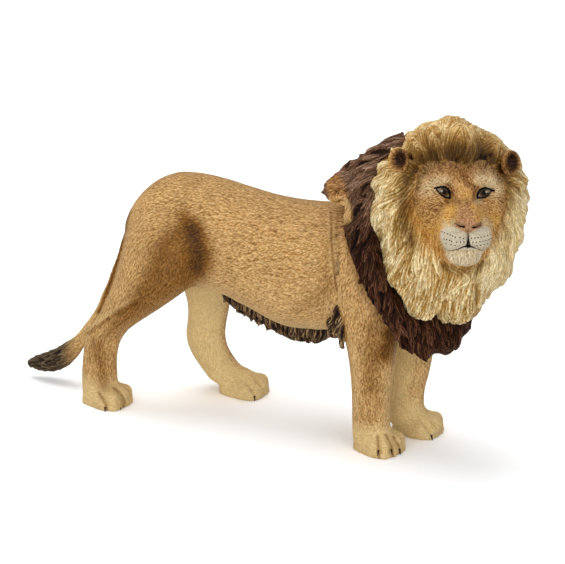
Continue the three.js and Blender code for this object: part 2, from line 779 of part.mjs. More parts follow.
const solids = {};
solids.trunk = largest(cutAll(trunkBody(0), [
  headBody(glueGap), fringeStrip(ribThicknessShare, glueGap), tailPeg(pegClearance), elbowPeg(pegClearance),
  ...allLegs.map((leg) => legPeg(leg, pegClearance)),
])).add(neckPeg(0));
for (const [name, leg] of Object.entries(legs)) solids[name] = legSolid(leg);
solids.tail = largest(cutAll(tailCord(), [
  trunkBody(glueGap), legShape(legs.right_hind_leg, glueGap), legShape(legs.left_hind_leg, glueGap),
])).add(tailPeg(0));
solids.belly_fringe = largest(fringeStrip(1, 0).subtract(trunkBody(glueGap)).add(
  fringeStrip(ribThicknessShare, 0),
));
solids.right_elbow_tuft = largest(cutAll(elbowTuft(), [
  trunkBody(glueGap), legShape(legs.right_foreleg, glueGap),
])).add(elbowPeg(0));
solids.mane_collar = largest(cutAll(collarSleeve().add(withersTuft()), [
  trunkBody(glueGap), headBody(glueGap), ruffSolid(glueGap),
  ...forelegs.map((leg) => legShape(leg, glueGap)),
]));
solids.face_ruff = largest(cutAll(ruffSolid(0), [
  headBody(glueGap), trunkBody(glueGap), ...forelegs.map((leg) => legShape(leg, glueGap)),
  ...earSides.map(earPocket), ...earSides.map((side) => earPeg(side, pegClearance)),
]));
solids.head = cutAll(headBody(0), [
  neckPeg(pegClearance), ...earSides.map((side) => earPeg(side, pegClearance)),
]);
for (const [name, side] of Object.entries(ears)) solids[name] = earCup(side).add(earPeg(side, 0));

const colours = {
  trunk: '#c69c63', right_foreleg: '#c69c63', left_foreleg: '#d8bf86', right_hind_leg: '#c69c63',
  left_hind_leg: '#d8c48f', tail: '#b98d50', belly_fringe: '#43301f', right_elbow_tuft: '#43301f',
  mane_collar: '#3f291c', face_ruff: '#d8bb7e', head: '#cda468', right_ear: '#b98d55', left_ear: '#b98d55',
};

const figure = new THREE.Group();
for (const [name, solid] of Object.entries(solids)) {
  const material = new THREE.MeshStandardMaterial({ color: colours[name], roughness: 0.55, metalness: 0 });
  const mesh = new THREE.Mesh(toGeometry(solid), material);
  mesh.name = name;
  figure.add(mesh);
}

// The figure stands centred over its origin, with its soles on the ground
const bounds = new THREE.Box3().setFromObject(figure);
const middle = bounds.getCenter(new THREE.Vector3());
figure.position.set(-middle.x, -middle.y, -bounds.min.z);

export default figure;
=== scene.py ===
import math

import bmesh
import bpy
import numpy as np
from mathutils import Euler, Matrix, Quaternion, Vector
from mathutils.bvhtree import BVHTree
from mathutils.kdtree import KDTree


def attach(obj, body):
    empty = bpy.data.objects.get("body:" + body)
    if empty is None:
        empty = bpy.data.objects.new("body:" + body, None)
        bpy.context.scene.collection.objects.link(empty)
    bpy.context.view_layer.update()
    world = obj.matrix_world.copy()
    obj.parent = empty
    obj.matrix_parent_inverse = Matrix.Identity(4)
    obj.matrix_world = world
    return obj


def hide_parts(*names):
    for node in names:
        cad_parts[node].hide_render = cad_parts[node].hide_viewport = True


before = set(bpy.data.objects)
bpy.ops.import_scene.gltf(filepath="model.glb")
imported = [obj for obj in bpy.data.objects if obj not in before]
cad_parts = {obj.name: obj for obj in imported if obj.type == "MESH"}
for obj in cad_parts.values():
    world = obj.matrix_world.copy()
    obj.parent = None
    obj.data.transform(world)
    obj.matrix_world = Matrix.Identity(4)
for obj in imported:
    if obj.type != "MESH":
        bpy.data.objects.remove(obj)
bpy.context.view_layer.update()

# Toy lion: solid soft PVC mouldings, glued together and painted by hand.
# Each piece is shaped in millimetres, and its finished mesh is in metres in the CAD model's frame.

# Camera: stands where the photograph was taken from, ahead of the lion's right flank and a little above,
# far off with a long lens. Details that the photograph shows are placed along its lines of sight.
PER_METRE = 1000
look_at = Vector((11.242, -11.772, 36.0))
camera_azimuth, camera_elevation, camera_distance = 28, 18.5, 700
photo_width, photo_height, photo_focal = 565, 564, 3395
sensor_width = 36
nearest_shown, farthest_shown = 0.01, 20

bearing, tilt = math.radians(camera_azimuth), math.radians(camera_elevation)
back = Vector((math.sin(bearing) * math.cos(tilt), -math.cos(bearing) * math.cos(tilt), math.sin(tilt)))
page_right = Vector((math.cos(bearing), math.sin(bearing), 0))
page_up = back.cross(page_right)


def placed(name, data):
    """Adds an object to the scene."""
    added = bpy.data.objects.new(name, data)
    bpy.context.scene.collection.objects.link(added)
    return added


camera = placed("camera", bpy.data.cameras.new("camera"))
camera.data.sensor_width = sensor_width
camera.data.lens = sensor_width * photo_focal / photo_width
camera.data.clip_start, camera.data.clip_end = nearest_shown, farthest_shown
camera.location = (look_at + back * camera_distance) / PER_METRE
camera.rotation_euler = back.to_track_quat("Z", "Y").to_euler()
bpy.context.scene.camera = camera


def seen(surface, column, row):
    """The point of a surface that the photograph shows at that pixel, in millimetres."""
    across = (column - photo_width / 2) / photo_focal
    down = (row - photo_height / 2) / photo_focal
    sight = (page_right * across - page_up * down - back).normalized()
    return surface.ray_cast(look_at + back * camera_distance, sight)[0]


def traced(surface, spots):
    """A path over a surface through the pixels where the photograph shows it."""
    path = [seen(surface, *spot) for spot in spots]
    return [spot for spot in path if spot]


def on_page(points):
    """Where points of the object show in the photograph, in millimetres across and down from its middle."""
    away = points - np.array(look_at)
    nearer = camera_distance / (camera_distance - away @ np.array(back))
    return np.stack([away @ np.array(page_right), -(away @ np.array(page_up))], axis=1) * nearer[:, None]


def page_path(pixels):
    """Pixels of the photograph as places on its page."""
    return (np.array(pixels, float) - (photo_width / 2, photo_height / 2)) * camera_distance / photo_focal


# Body: trunk, four legs and tail, moulded in soft PVC from one sculpt, so the fur runs over the seams.
# The solids are melted together, rounded where they meet, modelled, combed and then parted again.
body_names = ["trunk", "right_foreleg", "left_foreleg", "right_hind_leg", "left_hind_leg", "tail"]


def copy_of(*names, grow=0.0):
    """Copies of CAD nodes in one mesh in millimetres, with their doubles merged, each grown outwards."""
    bm = bmesh.new()
    for name in names:
        bm.from_mesh(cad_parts[name].data)
    bmesh.ops.remove_doubles(bm, verts=bm.verts, dist=1e-6)
    bmesh.ops.scale(bm, vec=(PER_METRE,) * 3, verts=bm.verts)
    bm.normal_update()
    for vert in bm.verts:
        vert.co += vert.normal * grow
    return bm


def applied(bm, kind, **settings):
    """The mesh after one modifier."""
    mesh = bpy.data.meshes.new("shape")
    bm.to_mesh(mesh)
    bm.free()
    shape = placed("shape", mesh)
    modifier = shape.modifiers.new(kind, kind)
    for key, value in settings.items():
        setattr(modifier, key, value)
    made = bpy.data.meshes.new_from_object(shape.evaluated_get(bpy.context.evaluated_depsgraph_get()))
    bpy.data.objects.remove(shape)
    bm = bmesh.new()
    bm.from_mesh(made)
    return bm


def surface_of(bm):
    """The surface of a mesh, to look up places on it. The mesh is freed."""
    surface = BVHTree.FromBMesh(bm)
    bm.free()
    return surface


def melted(bm, voxel, least=1.0):
    """A closed skin round everything in the mesh, without the hollows inside it. least is the share of the
    largest part's size from which other parts are kept too."""
    bm = applied(bm, "REMESH", mode="VOXEL", voxel_size=voxel)
    left = set(bm.verts)
    parts = []
    while left:
        part, edge = set(), [left.pop()]
        while edge:
            vert = edge.pop()
            part.add(vert)
            for link in vert.link_edges:
                other = link.other_vert(vert)
                if other in left:
                    left.remove(other)
                    edge.append(other)
        parts.append(part)
    parts.sort(key=len)
    small = [vert for part in parts[:-1] if len(part) < least * len(parts[-1]) + 1 for vert in part]
    bmesh.ops.delete(bm, geom=small, context="VERTS")
    return bm


def unit(vectors):
    return vectors / np.maximum(np.linalg.norm(vectors, axis=-1, keepdims=True), 1e-9)


def ramp(values, zero, one):
    """A soft step from 0 at one value to 1 at the other."""
    share = np.clip((values - zero) / (one - zero), 0, 1)
    return share * share * (3 - 2 * share)


def to_path(points, path):
    """Distance of each point from a path, and how far along the path its nearest place is, from 0 to 1."""
    path = np.array([tuple(spot) for spot in path], float)
    near = np.full(len(points), 1e9)
    along = np.zeros(len(points))
    for i in range(len(path) - 1):
        step = path[i + 1] - path[i]
        share = np.clip((points - path[i]) @ step / max(step @ step, 1e-9), 0, 1)
        away = np.linalg.norm(points - path[i] - share[:, None] * step, axis=1)
        closer = away < near
        near[closer] = away[closer]
        along[closer] = (i + share[closer]) / (len(path) - 1)
    return near, along


def band(page, pixels, zero, one):
    """A strip along pixels of the photograph, from 0 at one distance from them to 1 at the other."""
    return ramp(to_path(page, page_path(pixels))[0], zero, one)


def brushed(page, width, *paths):
    """Soft brush strokes of one width along paths of pixels of the photograph, from 0 to 1."""
    away = np.min([to_path(page, page_path(path))[0] for path in paths], axis=0)
    return np.exp(-((away / width) ** 2))


def beyond_outline(page, pixels):
    """How far places on the page are outside an outline drawn round pixels of the photograph."""
    corners = page_path(pixels)
    away = to_path(page, np.vstack([corners, corners[:1]]))[0]
    inside = np.zeros(len(page), bool)
    for a, b in zip(corners, np.roll(corners, -1, axis=0)):
        crosses = (a[1] > page[:, 1]) != (b[1] > page[:, 1])
        slope = (page[:, 1] - a[1]) / (b[1] - a[1] + 1e-9) * (b[0] - a[0]) + a[0]
        inside ^= crosses & (page[:, 0] < slope)
    return np.where(inside, -away, away)


class Skin:
    """A mesh being modelled: its points and normals in millimetres, and the links between the points."""

    def __init__(self, bm):
        self.mesh = bpy.data.meshes.new("skin")
        bm.to_mesh(self.mesh)
        bm.free()
        count = len(self.mesh.vertices)
        self.at = np.empty(count * 3)
        self.mesh.vertices.foreach_get("co", self.at)
        self.at = self.at.reshape(-1, 3)
        links = np.empty(len(self.mesh.edges) * 2, int)
        self.mesh.edges.foreach_get("vertices", links)
        self.links = links.reshape(-1, 2)
        self.degree = np.bincount(links, minlength=count)
        self.refresh()

    def refresh(self):
        self.mesh.vertices.foreach_set("co", self.at.ravel())
        self.mesh.update()
        normals = np.empty(len(self.at) * 3)
        self.mesh.vertex_normals.foreach_get("vector", normals)
        self.normal = normals.reshape(-1, 3)

    def as_bmesh(self):
        bm = bmesh.new()
        bm.from_mesh(self.mesh)
        return bm

    def surface(self):
        return surface_of(self.as_bmesh())

    def finer(self):
        """The same shape, rounded, with four faces in place of each."""
        return Skin(applied(self.as_bmesh(), "SUBSURF", levels=1, render_levels=1))

    def around(self, values):
        """The mean of each point's neighbours."""
        one, two = self.links.T
        count = len(self.at)
        total = np.bincount(one, values[two], count) + np.bincount(two, values[one], count)
        return total / np.maximum(self.degree, 1)

    def relax(self, rounds, weight=1.0):
        """Rounds the shape off, by moving each point halfway to the mean of its neighbours in each round."""
        weight = np.broadcast_to(weight, len(self.at))
        for _ in range(rounds):
            mean = np.stack([self.around(column) for column in self.at.T], axis=1)
            self.at += (mean - self.at) * weight[:, None] * 0.5
        self.refresh()

    def soften(self, values, rounds):
        """The same for a value kept at each point."""
        for _ in range(rounds):
            values = 0.5 * (values + self.around(values))
        return values

    def push(self, amount):
        self.at += self.normal * amount[:, None]

    def swell(self, spot, reach, height):
        """A soft rise round a spot, or a hollow where the height is negative."""
        share = np.linalg.norm(self.at - np.array(spot), axis=1) / reach
        self.push(height * np.clip(1 - share**2, 0, 1) ** 2)

    def crease(self, path, width, height):
        """A groove or ridge along a path that fades out towards its ends."""
        away, along = to_path(self.at, path)
        fade = np.clip(4 * np.minimum(along, 1 - along), 0.15, 1)
        self.push(height * fade * np.exp(-((away / width) ** 2)))

    def nudge(self, moves, reach):
        """Shifts the shape across the photograph's plane, by pairs of pixels from and to."""
        page = on_page(self.at)
        total, shift = np.zeros(len(page)), np.zeros_like(page)
        for start, end in moves:
            start, end = page_path(start), page_path(end)
            share = np.exp(-((np.linalg.norm(page - start, axis=1) / reach) ** 2))
            total += share
            shift += share[:, None] * (end - start)
        shift /= np.maximum(total, 1)[:, None]
        self.at += shift[:, :1] * np.array(page_right) - shift[:, 1:] * np.array(page_up)
        self.refresh()

    def note(self, **named):
        """Keeps values for each point under their names, for the paint to read."""
        for name, values in named.items():
            kept = self.mesh.attributes.new(name, "FLOAT", "POINT")
            kept.data.foreach_set("value", np.asarray(values, np.float32))

    def note_flow(self, flow):
        """Keeps how upright the hair lies, for the paint's finest strokes."""
        self.note(upright=ramp(np.abs(flow[:, 2]), 0.4, 0.75))


def flow_field(skin, guides, spread):
    """The way the hair lies at each point: guides are spots with directions, and near ones count most."""
    total = np.zeros_like(skin.at)
    for spot, way in guides:
        share = np.exp(-((np.linalg.norm(skin.at - np.array(spot), axis=1) / spread) ** 2)) + 1e-9
        total += share[:, None] * unit(np.array(way, float))
    total -= skin.normal * (total * skin.normal).sum(axis=1)[:, None]
    return unit(total)


def even_roots(skin, spacing, rng):
    """Points picked about evenly over the surface, one to each small cube of space."""
    order = rng.permutation(len(skin.at))
    cells = np.floor(skin.at[order] / spacing).astype(int)
    return order[np.unique(cells, axis=0, return_index=True)[1]]


def comb(skin, flow, spacing, length, half_width, turn, seed, near=8):
    """Short strokes pressed in the fur. Gives the height of the stroke over each point, from 0 to 1."""
    rng = np.random.default_rng(seed)
    picked = even_roots(skin, spacing, rng)
    count = len(picked)
    way = flow[picked]
    side = np.cross(skin.normal[picked], way)
    angle = rng.normal(0, math.radians(turn), count)[:, None]
    way, side = way * np.cos(angle) + side * np.sin(angle), side * np.cos(angle) - way * np.sin(angle)
    roots = KDTree(count)
    for i, spot in enumerate(skin.at[picked]):
        roots.insert(spot, i)
    roots.balance()
    found = np.array([[i for _, i, _ in roots.find_n(spot, near)] for spot in skin.at])
    size = rng.uniform(0.75, 1.25, count)
    tall = rng.uniform(0.6, 1.0, count)
    best = np.zeros(len(skin.at))
    for column in found.T:
        offset = skin.at - skin.at[picked[column]]
        share = (offset * way[column]).sum(axis=1) / (length * size[column]) + 0.5
        beside = (offset * side[column]).sum(axis=1) / (half_width * (1.25 - 0.6 * np.clip(share, 0, 1)))
        rise = np.clip(share / 0.7, 0, 1) * np.clip((1 - share) / 0.22, 0, 1)
        best = np.maximum(best, tall[column] * rise * np.clip(1 - beside**2, 0, 1))
    return best


# the paws: the middle of each sole and the way it points, and pixels of the toes, creases and claws
paws = {
    "right_foreleg": ((30.30, -4.97), -9, [(370, 449), (385, 448), (396, 446)], [
        [(377.5, 436), (378.2, 441), (378.4, 447), (379, 452), (379, 458)],
        [(386, 435), (389, 441), (391.4, 446), (392.5, 451), (393, 457)],
        [(393.5, 437), (396.4, 442), (398.8, 446), (400, 450), (400.4, 455)],
    ], [(378, 453), (391.6, 452.2), (399.7, 451.8)]),
    "left_foreleg": ((32.90, 8.53), 4, [(422, 433), (437.5, 430)], [
        [(421, 418), (426, 424), (430, 430), (431.8, 436), (432.4, 441)],
        [(431.5, 418), (435.5, 423), (438.8, 429), (440.2, 435)],
    ], [(431.8, 437.8), (440.5, 435.5)]),
    "right_hind_leg": ((-34.12, -7.47), -3, [(96, 402), (112, 402), (125, 400)], [
        [(99, 393), (102.4, 398.6), (105, 403), (106.5, 407), (107, 411)],
        [(114, 388), (119, 392), (122.6, 397), (124.4, 402), (123.5, 408)],
    ], [(105, 409.8), (120.4, 409.2)]),
    "left_hind_leg": ((-10.93, 12.03), 3, [(246, 392), (261, 389)], [
        [(244, 379), (249, 384), (253.5, 390), (255.6, 396), (256, 401)],
        [(256, 378), (260.5, 383), (264.5, 389), (266.5, 395)],
    ], [(254.6, 398.6), (265.8, 395.6)]),
}


def on_paw(middle, turn, ahead, left, up):
    turn = math.radians(turn)
    along = Vector((math.cos(turn), math.sin(turn), 0))
    return Vector((*middle, up)) + along * ahead + Vector((-along.y, along.x, 0)) * left


toe_size, side_toe_size = 2.1, 1.9
side_toes = [(5.2, 1.6), (3.4, 4.0)]
solids = copy_of(*body_names, grow=0.18)
solids_surface = BVHTree.FromBMesh(solids)
for middle, turn, toes, _, _ in paws.values():
    spots = [(seen(solids_surface, *pixel), toe_size) for pixel in toes]
    for ahead, left in side_toes:
        spots.append((solids_surface.find_nearest(on_paw(middle, turn, ahead, left, 2.3))[0], side_toe_size))
    for spot, size in spots:
        centre = spot + (on_paw(middle, turn, 1.5, 0, 2.0) - spot).normalized() * (size - 0.4)
        toe = bmesh.ops.create_uvsphere(solids, u_segments=16, v_segments=12, radius=size)["verts"]
        for vert in toe:
            vert.co = centre + Vector((vert.co.x, vert.co.y, vert.co.z * 1.1))
body = melted(solids, voxel=0.53)
surfaces = [surface_of(copy_of(name)) for name in body_names]
part_layer = body.faces.layers.int.new("part")
for face in body.faces:
    centre = face.calc_center_median()
    away = [surface.find_nearest(centre)[3] for surface in surfaces]
    face[part_layer] = away.index(min(away))

# the paws are rounded off less, so that their toes stay
skin = Skin(body)
skin.relax(24, np.interp(skin.at[:, 2], [3, 9], [0.10, 1.0]))
skin = skin.finer()
# the belly's line and the root of the tail are brought to where the photograph shows them
outline_moves = [
    ((242, 301), (242, 304)), ((256, 306), (256, 312)), ((269.5, 310), (269.5, 319)),
    ((283, 314), (283, 324)), ((297, 319), (297, 327)), ((313, 323), (313, 326)), ((96, 309), (99, 308)),
    ((107, 285), (109.5, 285)), ((115, 260), (116.5, 260)),
]
skin.nudge(outline_moves, reach=3.0)

# Muscles, folds and hollows, where the photograph shows them on the right side: the pixels along each, its
# width and its height
body_surface = skin.surface()
fold_groove = [(331.2, 212), (331.5, 240), (333.2, 262), (336.5, 290)]
creases = [
    # two thin folds of skin behind the shoulder
    ([(328.5, 212), (329, 240), (331, 262), (334, 280)], 0.36, 0.5),
    ([(333.6, 211), (334, 240), (335.5, 265), (339.5, 300)], 0.4, 0.5),
    (fold_groove, 0.4, -0.35),
    ([(326, 214), (326.5, 240), (328, 265)], 1.2, -0.3),
    # the flank's hollow ahead of the thigh, and the thigh's muscle
    ([(190, 205), (200, 222), (207, 243), (208, 262), (203, 274)], 3.0, -0.75),
    ([(176, 222), (163, 252), (148, 277), (134, 298)], 1.7, -0.42),
    ([(186, 214), (184, 240), (172, 268), (156, 290)], 3.2, 0.45),
    # the tendon over the hock and the line between the thigh and the tail
    ([(88, 328), (118, 308), (136, 299), (152, 290)], 0.5, 0.35),
    ([(92, 332), (120, 312), (137, 303), (152, 295)], 0.6, -0.35),
    ([(132, 198), (127, 220), (120.5, 250), (112, 280), (100, 311)], 0.5, -0.6),
    # the hock, the shin and the forearm
    ([(96, 342), (101, 360), (103, 385)], 1.0, -0.18),
    ([(384, 332), (377, 365), (374, 395), (367, 416)], 1.6, -0.30),
    ([(350, 330), (356, 365), (361, 400)], 1.6, 0.22),
    ([(364, 262), (352, 290), (352, 318)], 2.2, 0.35),
]
for path, width, height in creases:
    skin.crease(traced(body_surface, path), width, height)
skin.refresh()

# Toes: creases over each paw, from the instep to the sole, and lower domes on the two near paws
toe_domes = {"right_foreleg": [8.0, 5.1, 4.4, 3.6, 2.3], "right_hind_leg": [8.0, 4.7, 4.1, 3.4, 2.2]}
inner_crease = [(0.2, 7.0), (2.0, 5.6), (3.6, 4.2), (4.9, 2.4), (5.4, 0.6)]
for name, dome in toe_domes.items():
    middle, turn = paws[name][:2]
    offset = skin.at - np.array(on_paw(middle, turn, 0, 0, 0))
    ahead = offset @ np.array(on_paw((0, 0), turn, 1, 0, 0))
    near = (np.abs(offset[:, 1]) < 6.5) & (ahead > 2.2) & (ahead < 9) & (skin.at[:, 2] < 9)
    top = np.interp(ahead, [2.3, 3.0, 4.3, 5.2, 6.2], dome)
    over = np.maximum(skin.at[:, 2] - top, 0) * near
    skin.at[:, 2] -= 0.85 * over
skin.at[:, 2] = np.maximum(skin.at[:, 2], 0)
skin.refresh()
body_surface = skin.surface()
for middle, turn, _, paths, _ in paws.values():
    paths = [traced(body_surface, path) for path in paths]
    inner = [on_paw(middle, turn, ahead, 2.4, up) for ahead, up in inner_crease]
    paths.append([body_surface.find_nearest(spot)[0] for spot in inner])
    for path in paths:
        skin.crease(path, width=0.45, height=-0.6)
        skin.crease(path, width=1.1, height=-0.35)
skin.refresh()

# Guides for the fur: back along the trunk, down the haunch, shoulder and legs, forward over the paws
down, forward = (0, 0, -1), (1, 0, -0.3)
fur_guides = [
    ((-25, 0, 50), (-1, 0, 0.1)), ((0, 0, 50), (-1, 0, 0)), ((20, 0, 48), (-1, 0, 0)),
    ((-36, 0, 44), (-0.5, 0, -1)), ((-42, -2, 36), (-0.4, 0, -1)), ((-50, -3, 15), (-1, 0, -0.8)),
    ((-57, -3, 5), (-1, 0, -0.1)), ((0, 0, 28), (-1, 0, -0.1)), ((15, 0, 26), (-1, 0, 0)),
]
for side in (-1, 1):
    fur_guides += [
        ((-20, 10 * side, 44), (-1, 0, -0.35)), ((0, 11 * side, 42), (-1, 0, -0.15)),
        ((14, 11 * side, 40), (-1, 0, -0.1)), ((-30, 9 * side, 40), (-0.7, 0, -0.9)),
        ((-22, 9 * side, 34), (-0.5, 0, -1)), ((4, 11 * side, 33), (-1, 0, -0.2)),
        ((24, 10 * side, 42), (-0.35, 0, -1)), ((27, 9 * side, 34), (-0.2, 0, -1)),
        ((30, 7 * side, 25), down), ((31, 7 * side, 12), down), ((33, 7 * side, 3), forward),
    ]
fur_guides += [
    ((-32, -8, 30), (-0.6, 0, -1)), ((-36, -8, 22), (-0.6, 0, -1)), ((-36, -8, 12), (0, 0, -1)),
    ((-33, -8, 3), forward), ((-19, 9, 30), down), ((-19, 10, 22), down), ((-17, 10, 12), (0.2, 0, -1)),
    ((-10, 12, 3), forward),
]
flow = flow_field(skin, fur_guides, 6)
fur = comb(skin, flow, spacing=0.5, length=1.3, half_width=0.2, turn=19, seed=3, near=9)

# The tail's tuft: longer, deeper strands from where the tail thickens to the tip
# x and z follow the points as they move
x, _, z = skin.at.T
in_tuft = ramp(x, -44.5, -48.5) * ramp(z, 22, 18)
tuft = comb(skin, flow, spacing=1.0, length=5.0, half_width=0.4, turn=8, seed=4, near=10)
fur = fur * (1 - in_tuft) + tuft * in_tuft
on_paws = ramp(z, 7.5, 4.5) * (x > -44)
fur_depth, less_on_paws, more_in_tuft = 0.08, 0.06, 0.40
skin.push((fur_depth - less_on_paws * on_paws + more_in_tuft * in_tuft) * (fur - 0.45))
skin.at[:, 2] = np.maximum(skin.at[:, 2], 0)
skin.refresh()
skin.note_flow(flow)

# Sprayed paint: cream inside the legs, under the belly and on the paws, brown in the hollows. Some of the
# brown is painted shade, in creases, on shaded sides and over the back, and some of the cream is painted
# highlight.
part = np.zeros(len(skin.at), int)
face_parts = np.empty(len(skin.mesh.polygons), int)
skin.mesh.attributes["part"].data.foreach_get("value", face_parts)
corners = np.empty(len(skin.mesh.loops), int)
skin.mesh.loops.foreach_get("vertex_index", corners)
part[corners] = np.repeat(face_parts, 4)
outer = np.choose(part, [0, -1, 1, -1, 1, 0])
inner = ramp(skin.normal[:, 1] * outer, 0.15, -0.55) * ramp(z, 40, 30)
belly = ramp(skin.normal[:, 2], -0.45, -0.9) * ramp(z, 36, 30) * (part == 0)
paw = ramp(z, 8.0, 4.5) * (part > 0) * (part < 5)
pale = skin.soften(np.maximum(np.maximum(inner, belly * 0.6), paw * 0.85), 12)
# the thigh's sprayed brown, with painted shade in it: its outline and darkest strokes as the photograph
# shows them, and the same on the left. Each stroke has its pixels, its width and its strength.
thigh = [
    (187, 219), (195, 221), (202, 231), (208, 242), (212, 254), (213, 265), (205, 278), (193, 288),
    (178, 295), (160, 306), (140, 319), (122, 329), (106, 338), (110, 322), (124, 305), (134, 289),
    (143, 273), (150, 256), (156, 241), (167, 230), (179, 222),
]
thigh_strokes = [
    ([(184, 216), (189, 224), (194, 232)], 1.6, 0.55),
    ([(193, 231), (197, 243), (199, 255), (197, 266)], 2.1, 0.88),
    ([(178, 207), (167, 222), (156, 238), (146, 256)], 2.4, 0.16),
]
strokes = thigh_strokes + [
    ([(97, 345), (101, 360), (104, 385)], 1.6, 0.50),
    # painted shade down the right foreleg's right side, which is turned from the light, under the mane
    ([(389, 334), (388, 344), (384, 355)], 1.9, 0.85),
    ([(372, 326), (371, 350), (370, 372), (372, 388)], 2.0, 0.48),
    ([(377, 400), (374, 410), (370, 419)], 1.0, 0.20),
    # painted shade in the grooves in front of, between and behind the folds behind the shoulder
    ([(329, 290), (326, 268), (325.5, 235), (325.5, 214)], 1.2, 0.22),
    (fold_groove, 0.28, 0.5),
    ([(337, 214), (337.5, 240), (339, 262)], 0.5, 0.22),
    ([(300, 308), (318, 300), (327, 285)], 2.2, 0.25),
    ([(350, 215), (352, 250), (362, 285), (382, 318)], 1.3, 0.40),
    # painted shade in the groove under the hock's tendon and in the groove between the thigh and the tail
    ([(88, 333), (118, 313), (137, 304)], 0.5, 0.45),
    ([(131, 200), (126.5, 221), (120, 251), (111, 281), (99, 312)], 0.45, 0.75),
]
# painted shade along the toe creases
strokes += [(path, 0.28, 0.55) for _, _, _, paths, _ in paws.values() for path in paths]
shade = np.zeros(len(skin.at))
for flip in (1, -1):
    mirror = np.array([1, flip, 1])
    page = on_page(skin.at * mirror)
    front = ramp((skin.normal * mirror) @ np.array(back), -0.1, 0.25)
    bare = 1 - 0.66 * ramp(beyond_outline(page, thigh), 2.1, -2.1) * front
    for path, width, strength in strokes if flip == 1 else thigh_strokes:
        bare *= 1 - strength * brushed(page, width, path) * front
    if flip == -1:
        front *= ramp(skin.at[:, 1], 0, 4) * ramp(z, 12, 22) * (x < 0)
    else:
        front *= (part != 2) * (part != 4)
    shade = np.maximum(shade, (1 - bare) * front)
# painted shade: the trunk is a little darker where it faces up
back_shade = 0.13
shade = np.maximum(shade, back_shade * ramp(skin.normal[:, 2], 0.5, 0.9) * (part == 0))
# painted highlights on the folds, the tendon and the shins, and a pale stroke along the rear edge of the
# haunch
pale_strokes = [
    # painted highlights on the ridges of the two folds
    ([(328.5, 214), (329, 240), (331, 262), (334, 280)], 0.3, 0.35),
    ([(333.6, 213), (334, 240), (335.5, 265), (339.5, 300)], 0.35, 0.35),
    # a painted highlight along the hock's tendon
    ([(88, 328), (118, 308), (136, 299)], 0.4, 0.5),
    # painted highlights down both sides of the right foreleg
    ([(388, 372), (387, 400), (386, 424)], 0.9, 0.3),
    ([(354, 345), (356, 380), (356, 415)], 0.8, 0.35),
    ([(125, 206), (118, 232), (111, 256), (103, 282), (94, 306), (88, 325), (82, 345)], 0.6, 0.5),
]
page, front = on_page(skin.at), ramp(skin.normal @ np.array(back), -0.1, 0.25) * (part != 2) * (part != 4)
for path, width, strength in pale_strokes:
    pale = np.maximum(pale, strength * front * brushed(page, width, path))
pale *= 1 - 0.75 * (part == 2) * ramp(skin.normal[:, 0], 0.1, 0.6) * ramp(z, 6, 10)
contrast = (0.74 + 0.38 * in_tuft) * (1 - 0.6 * np.maximum(on_paws, pale))
# the sprayed brown and the painted shade turn the coat brown up to full_wash, and dark brown above it
full_wash = 0.7
# how high on a brushed strand the paint is the base coat
base_share = 0.42
skin.note(
    pale=pale,
    strand=np.clip(base_share + contrast * (fur - base_share), 0, 1),
    wash=np.clip(shade / full_wash, 0, 1),
    shade=np.clip((shade - full_wash) / 0.3, 0, 1),
    dark=ramp(x, -44.0, -49.0) * ramp(z, 22, 18),
)


def colour(hexadecimal):
    """A colour written as sRGB, turned to the linear one that the shader takes."""
    values = [int(hexadecimal[i : i + 2], 16) / 255 for i in (1, 3, 5)]
    return [v / 12.92 if v <= 0.04045 else ((v + 0.055) / 1.055) ** 2.4 for v in values] + [1]


def node(tree, kind, settings=None, **inputs):
    """Adds a node with its settings. Its inputs, by name or number, are values or other nodes' outputs."""
    made = tree.nodes.new(kind)
    for key, value in (settings or {}).items():
        setattr(made, key, value)
    for key, value in inputs.items():
        socket = made.inputs[int(key[1:])] if key[1:].isdigit() else made.inputs[key.replace("_", " ")]
        if isinstance(value, bpy.types.NodeSocket):
            tree.links.new(value, socket)
        else:
            socket.default_value = value
    return made


# the figure's paint: a dull film with hardly any shine, cloudy over some millimetres, with faint strokes
cloud_size, cloud_depth = 5.0, 0.07
stroke_depth, stroke_starts, stroke_full, stroke_in_pale = 0.05, 0.34, 0.64, 0.4
paint_ior = 1.46


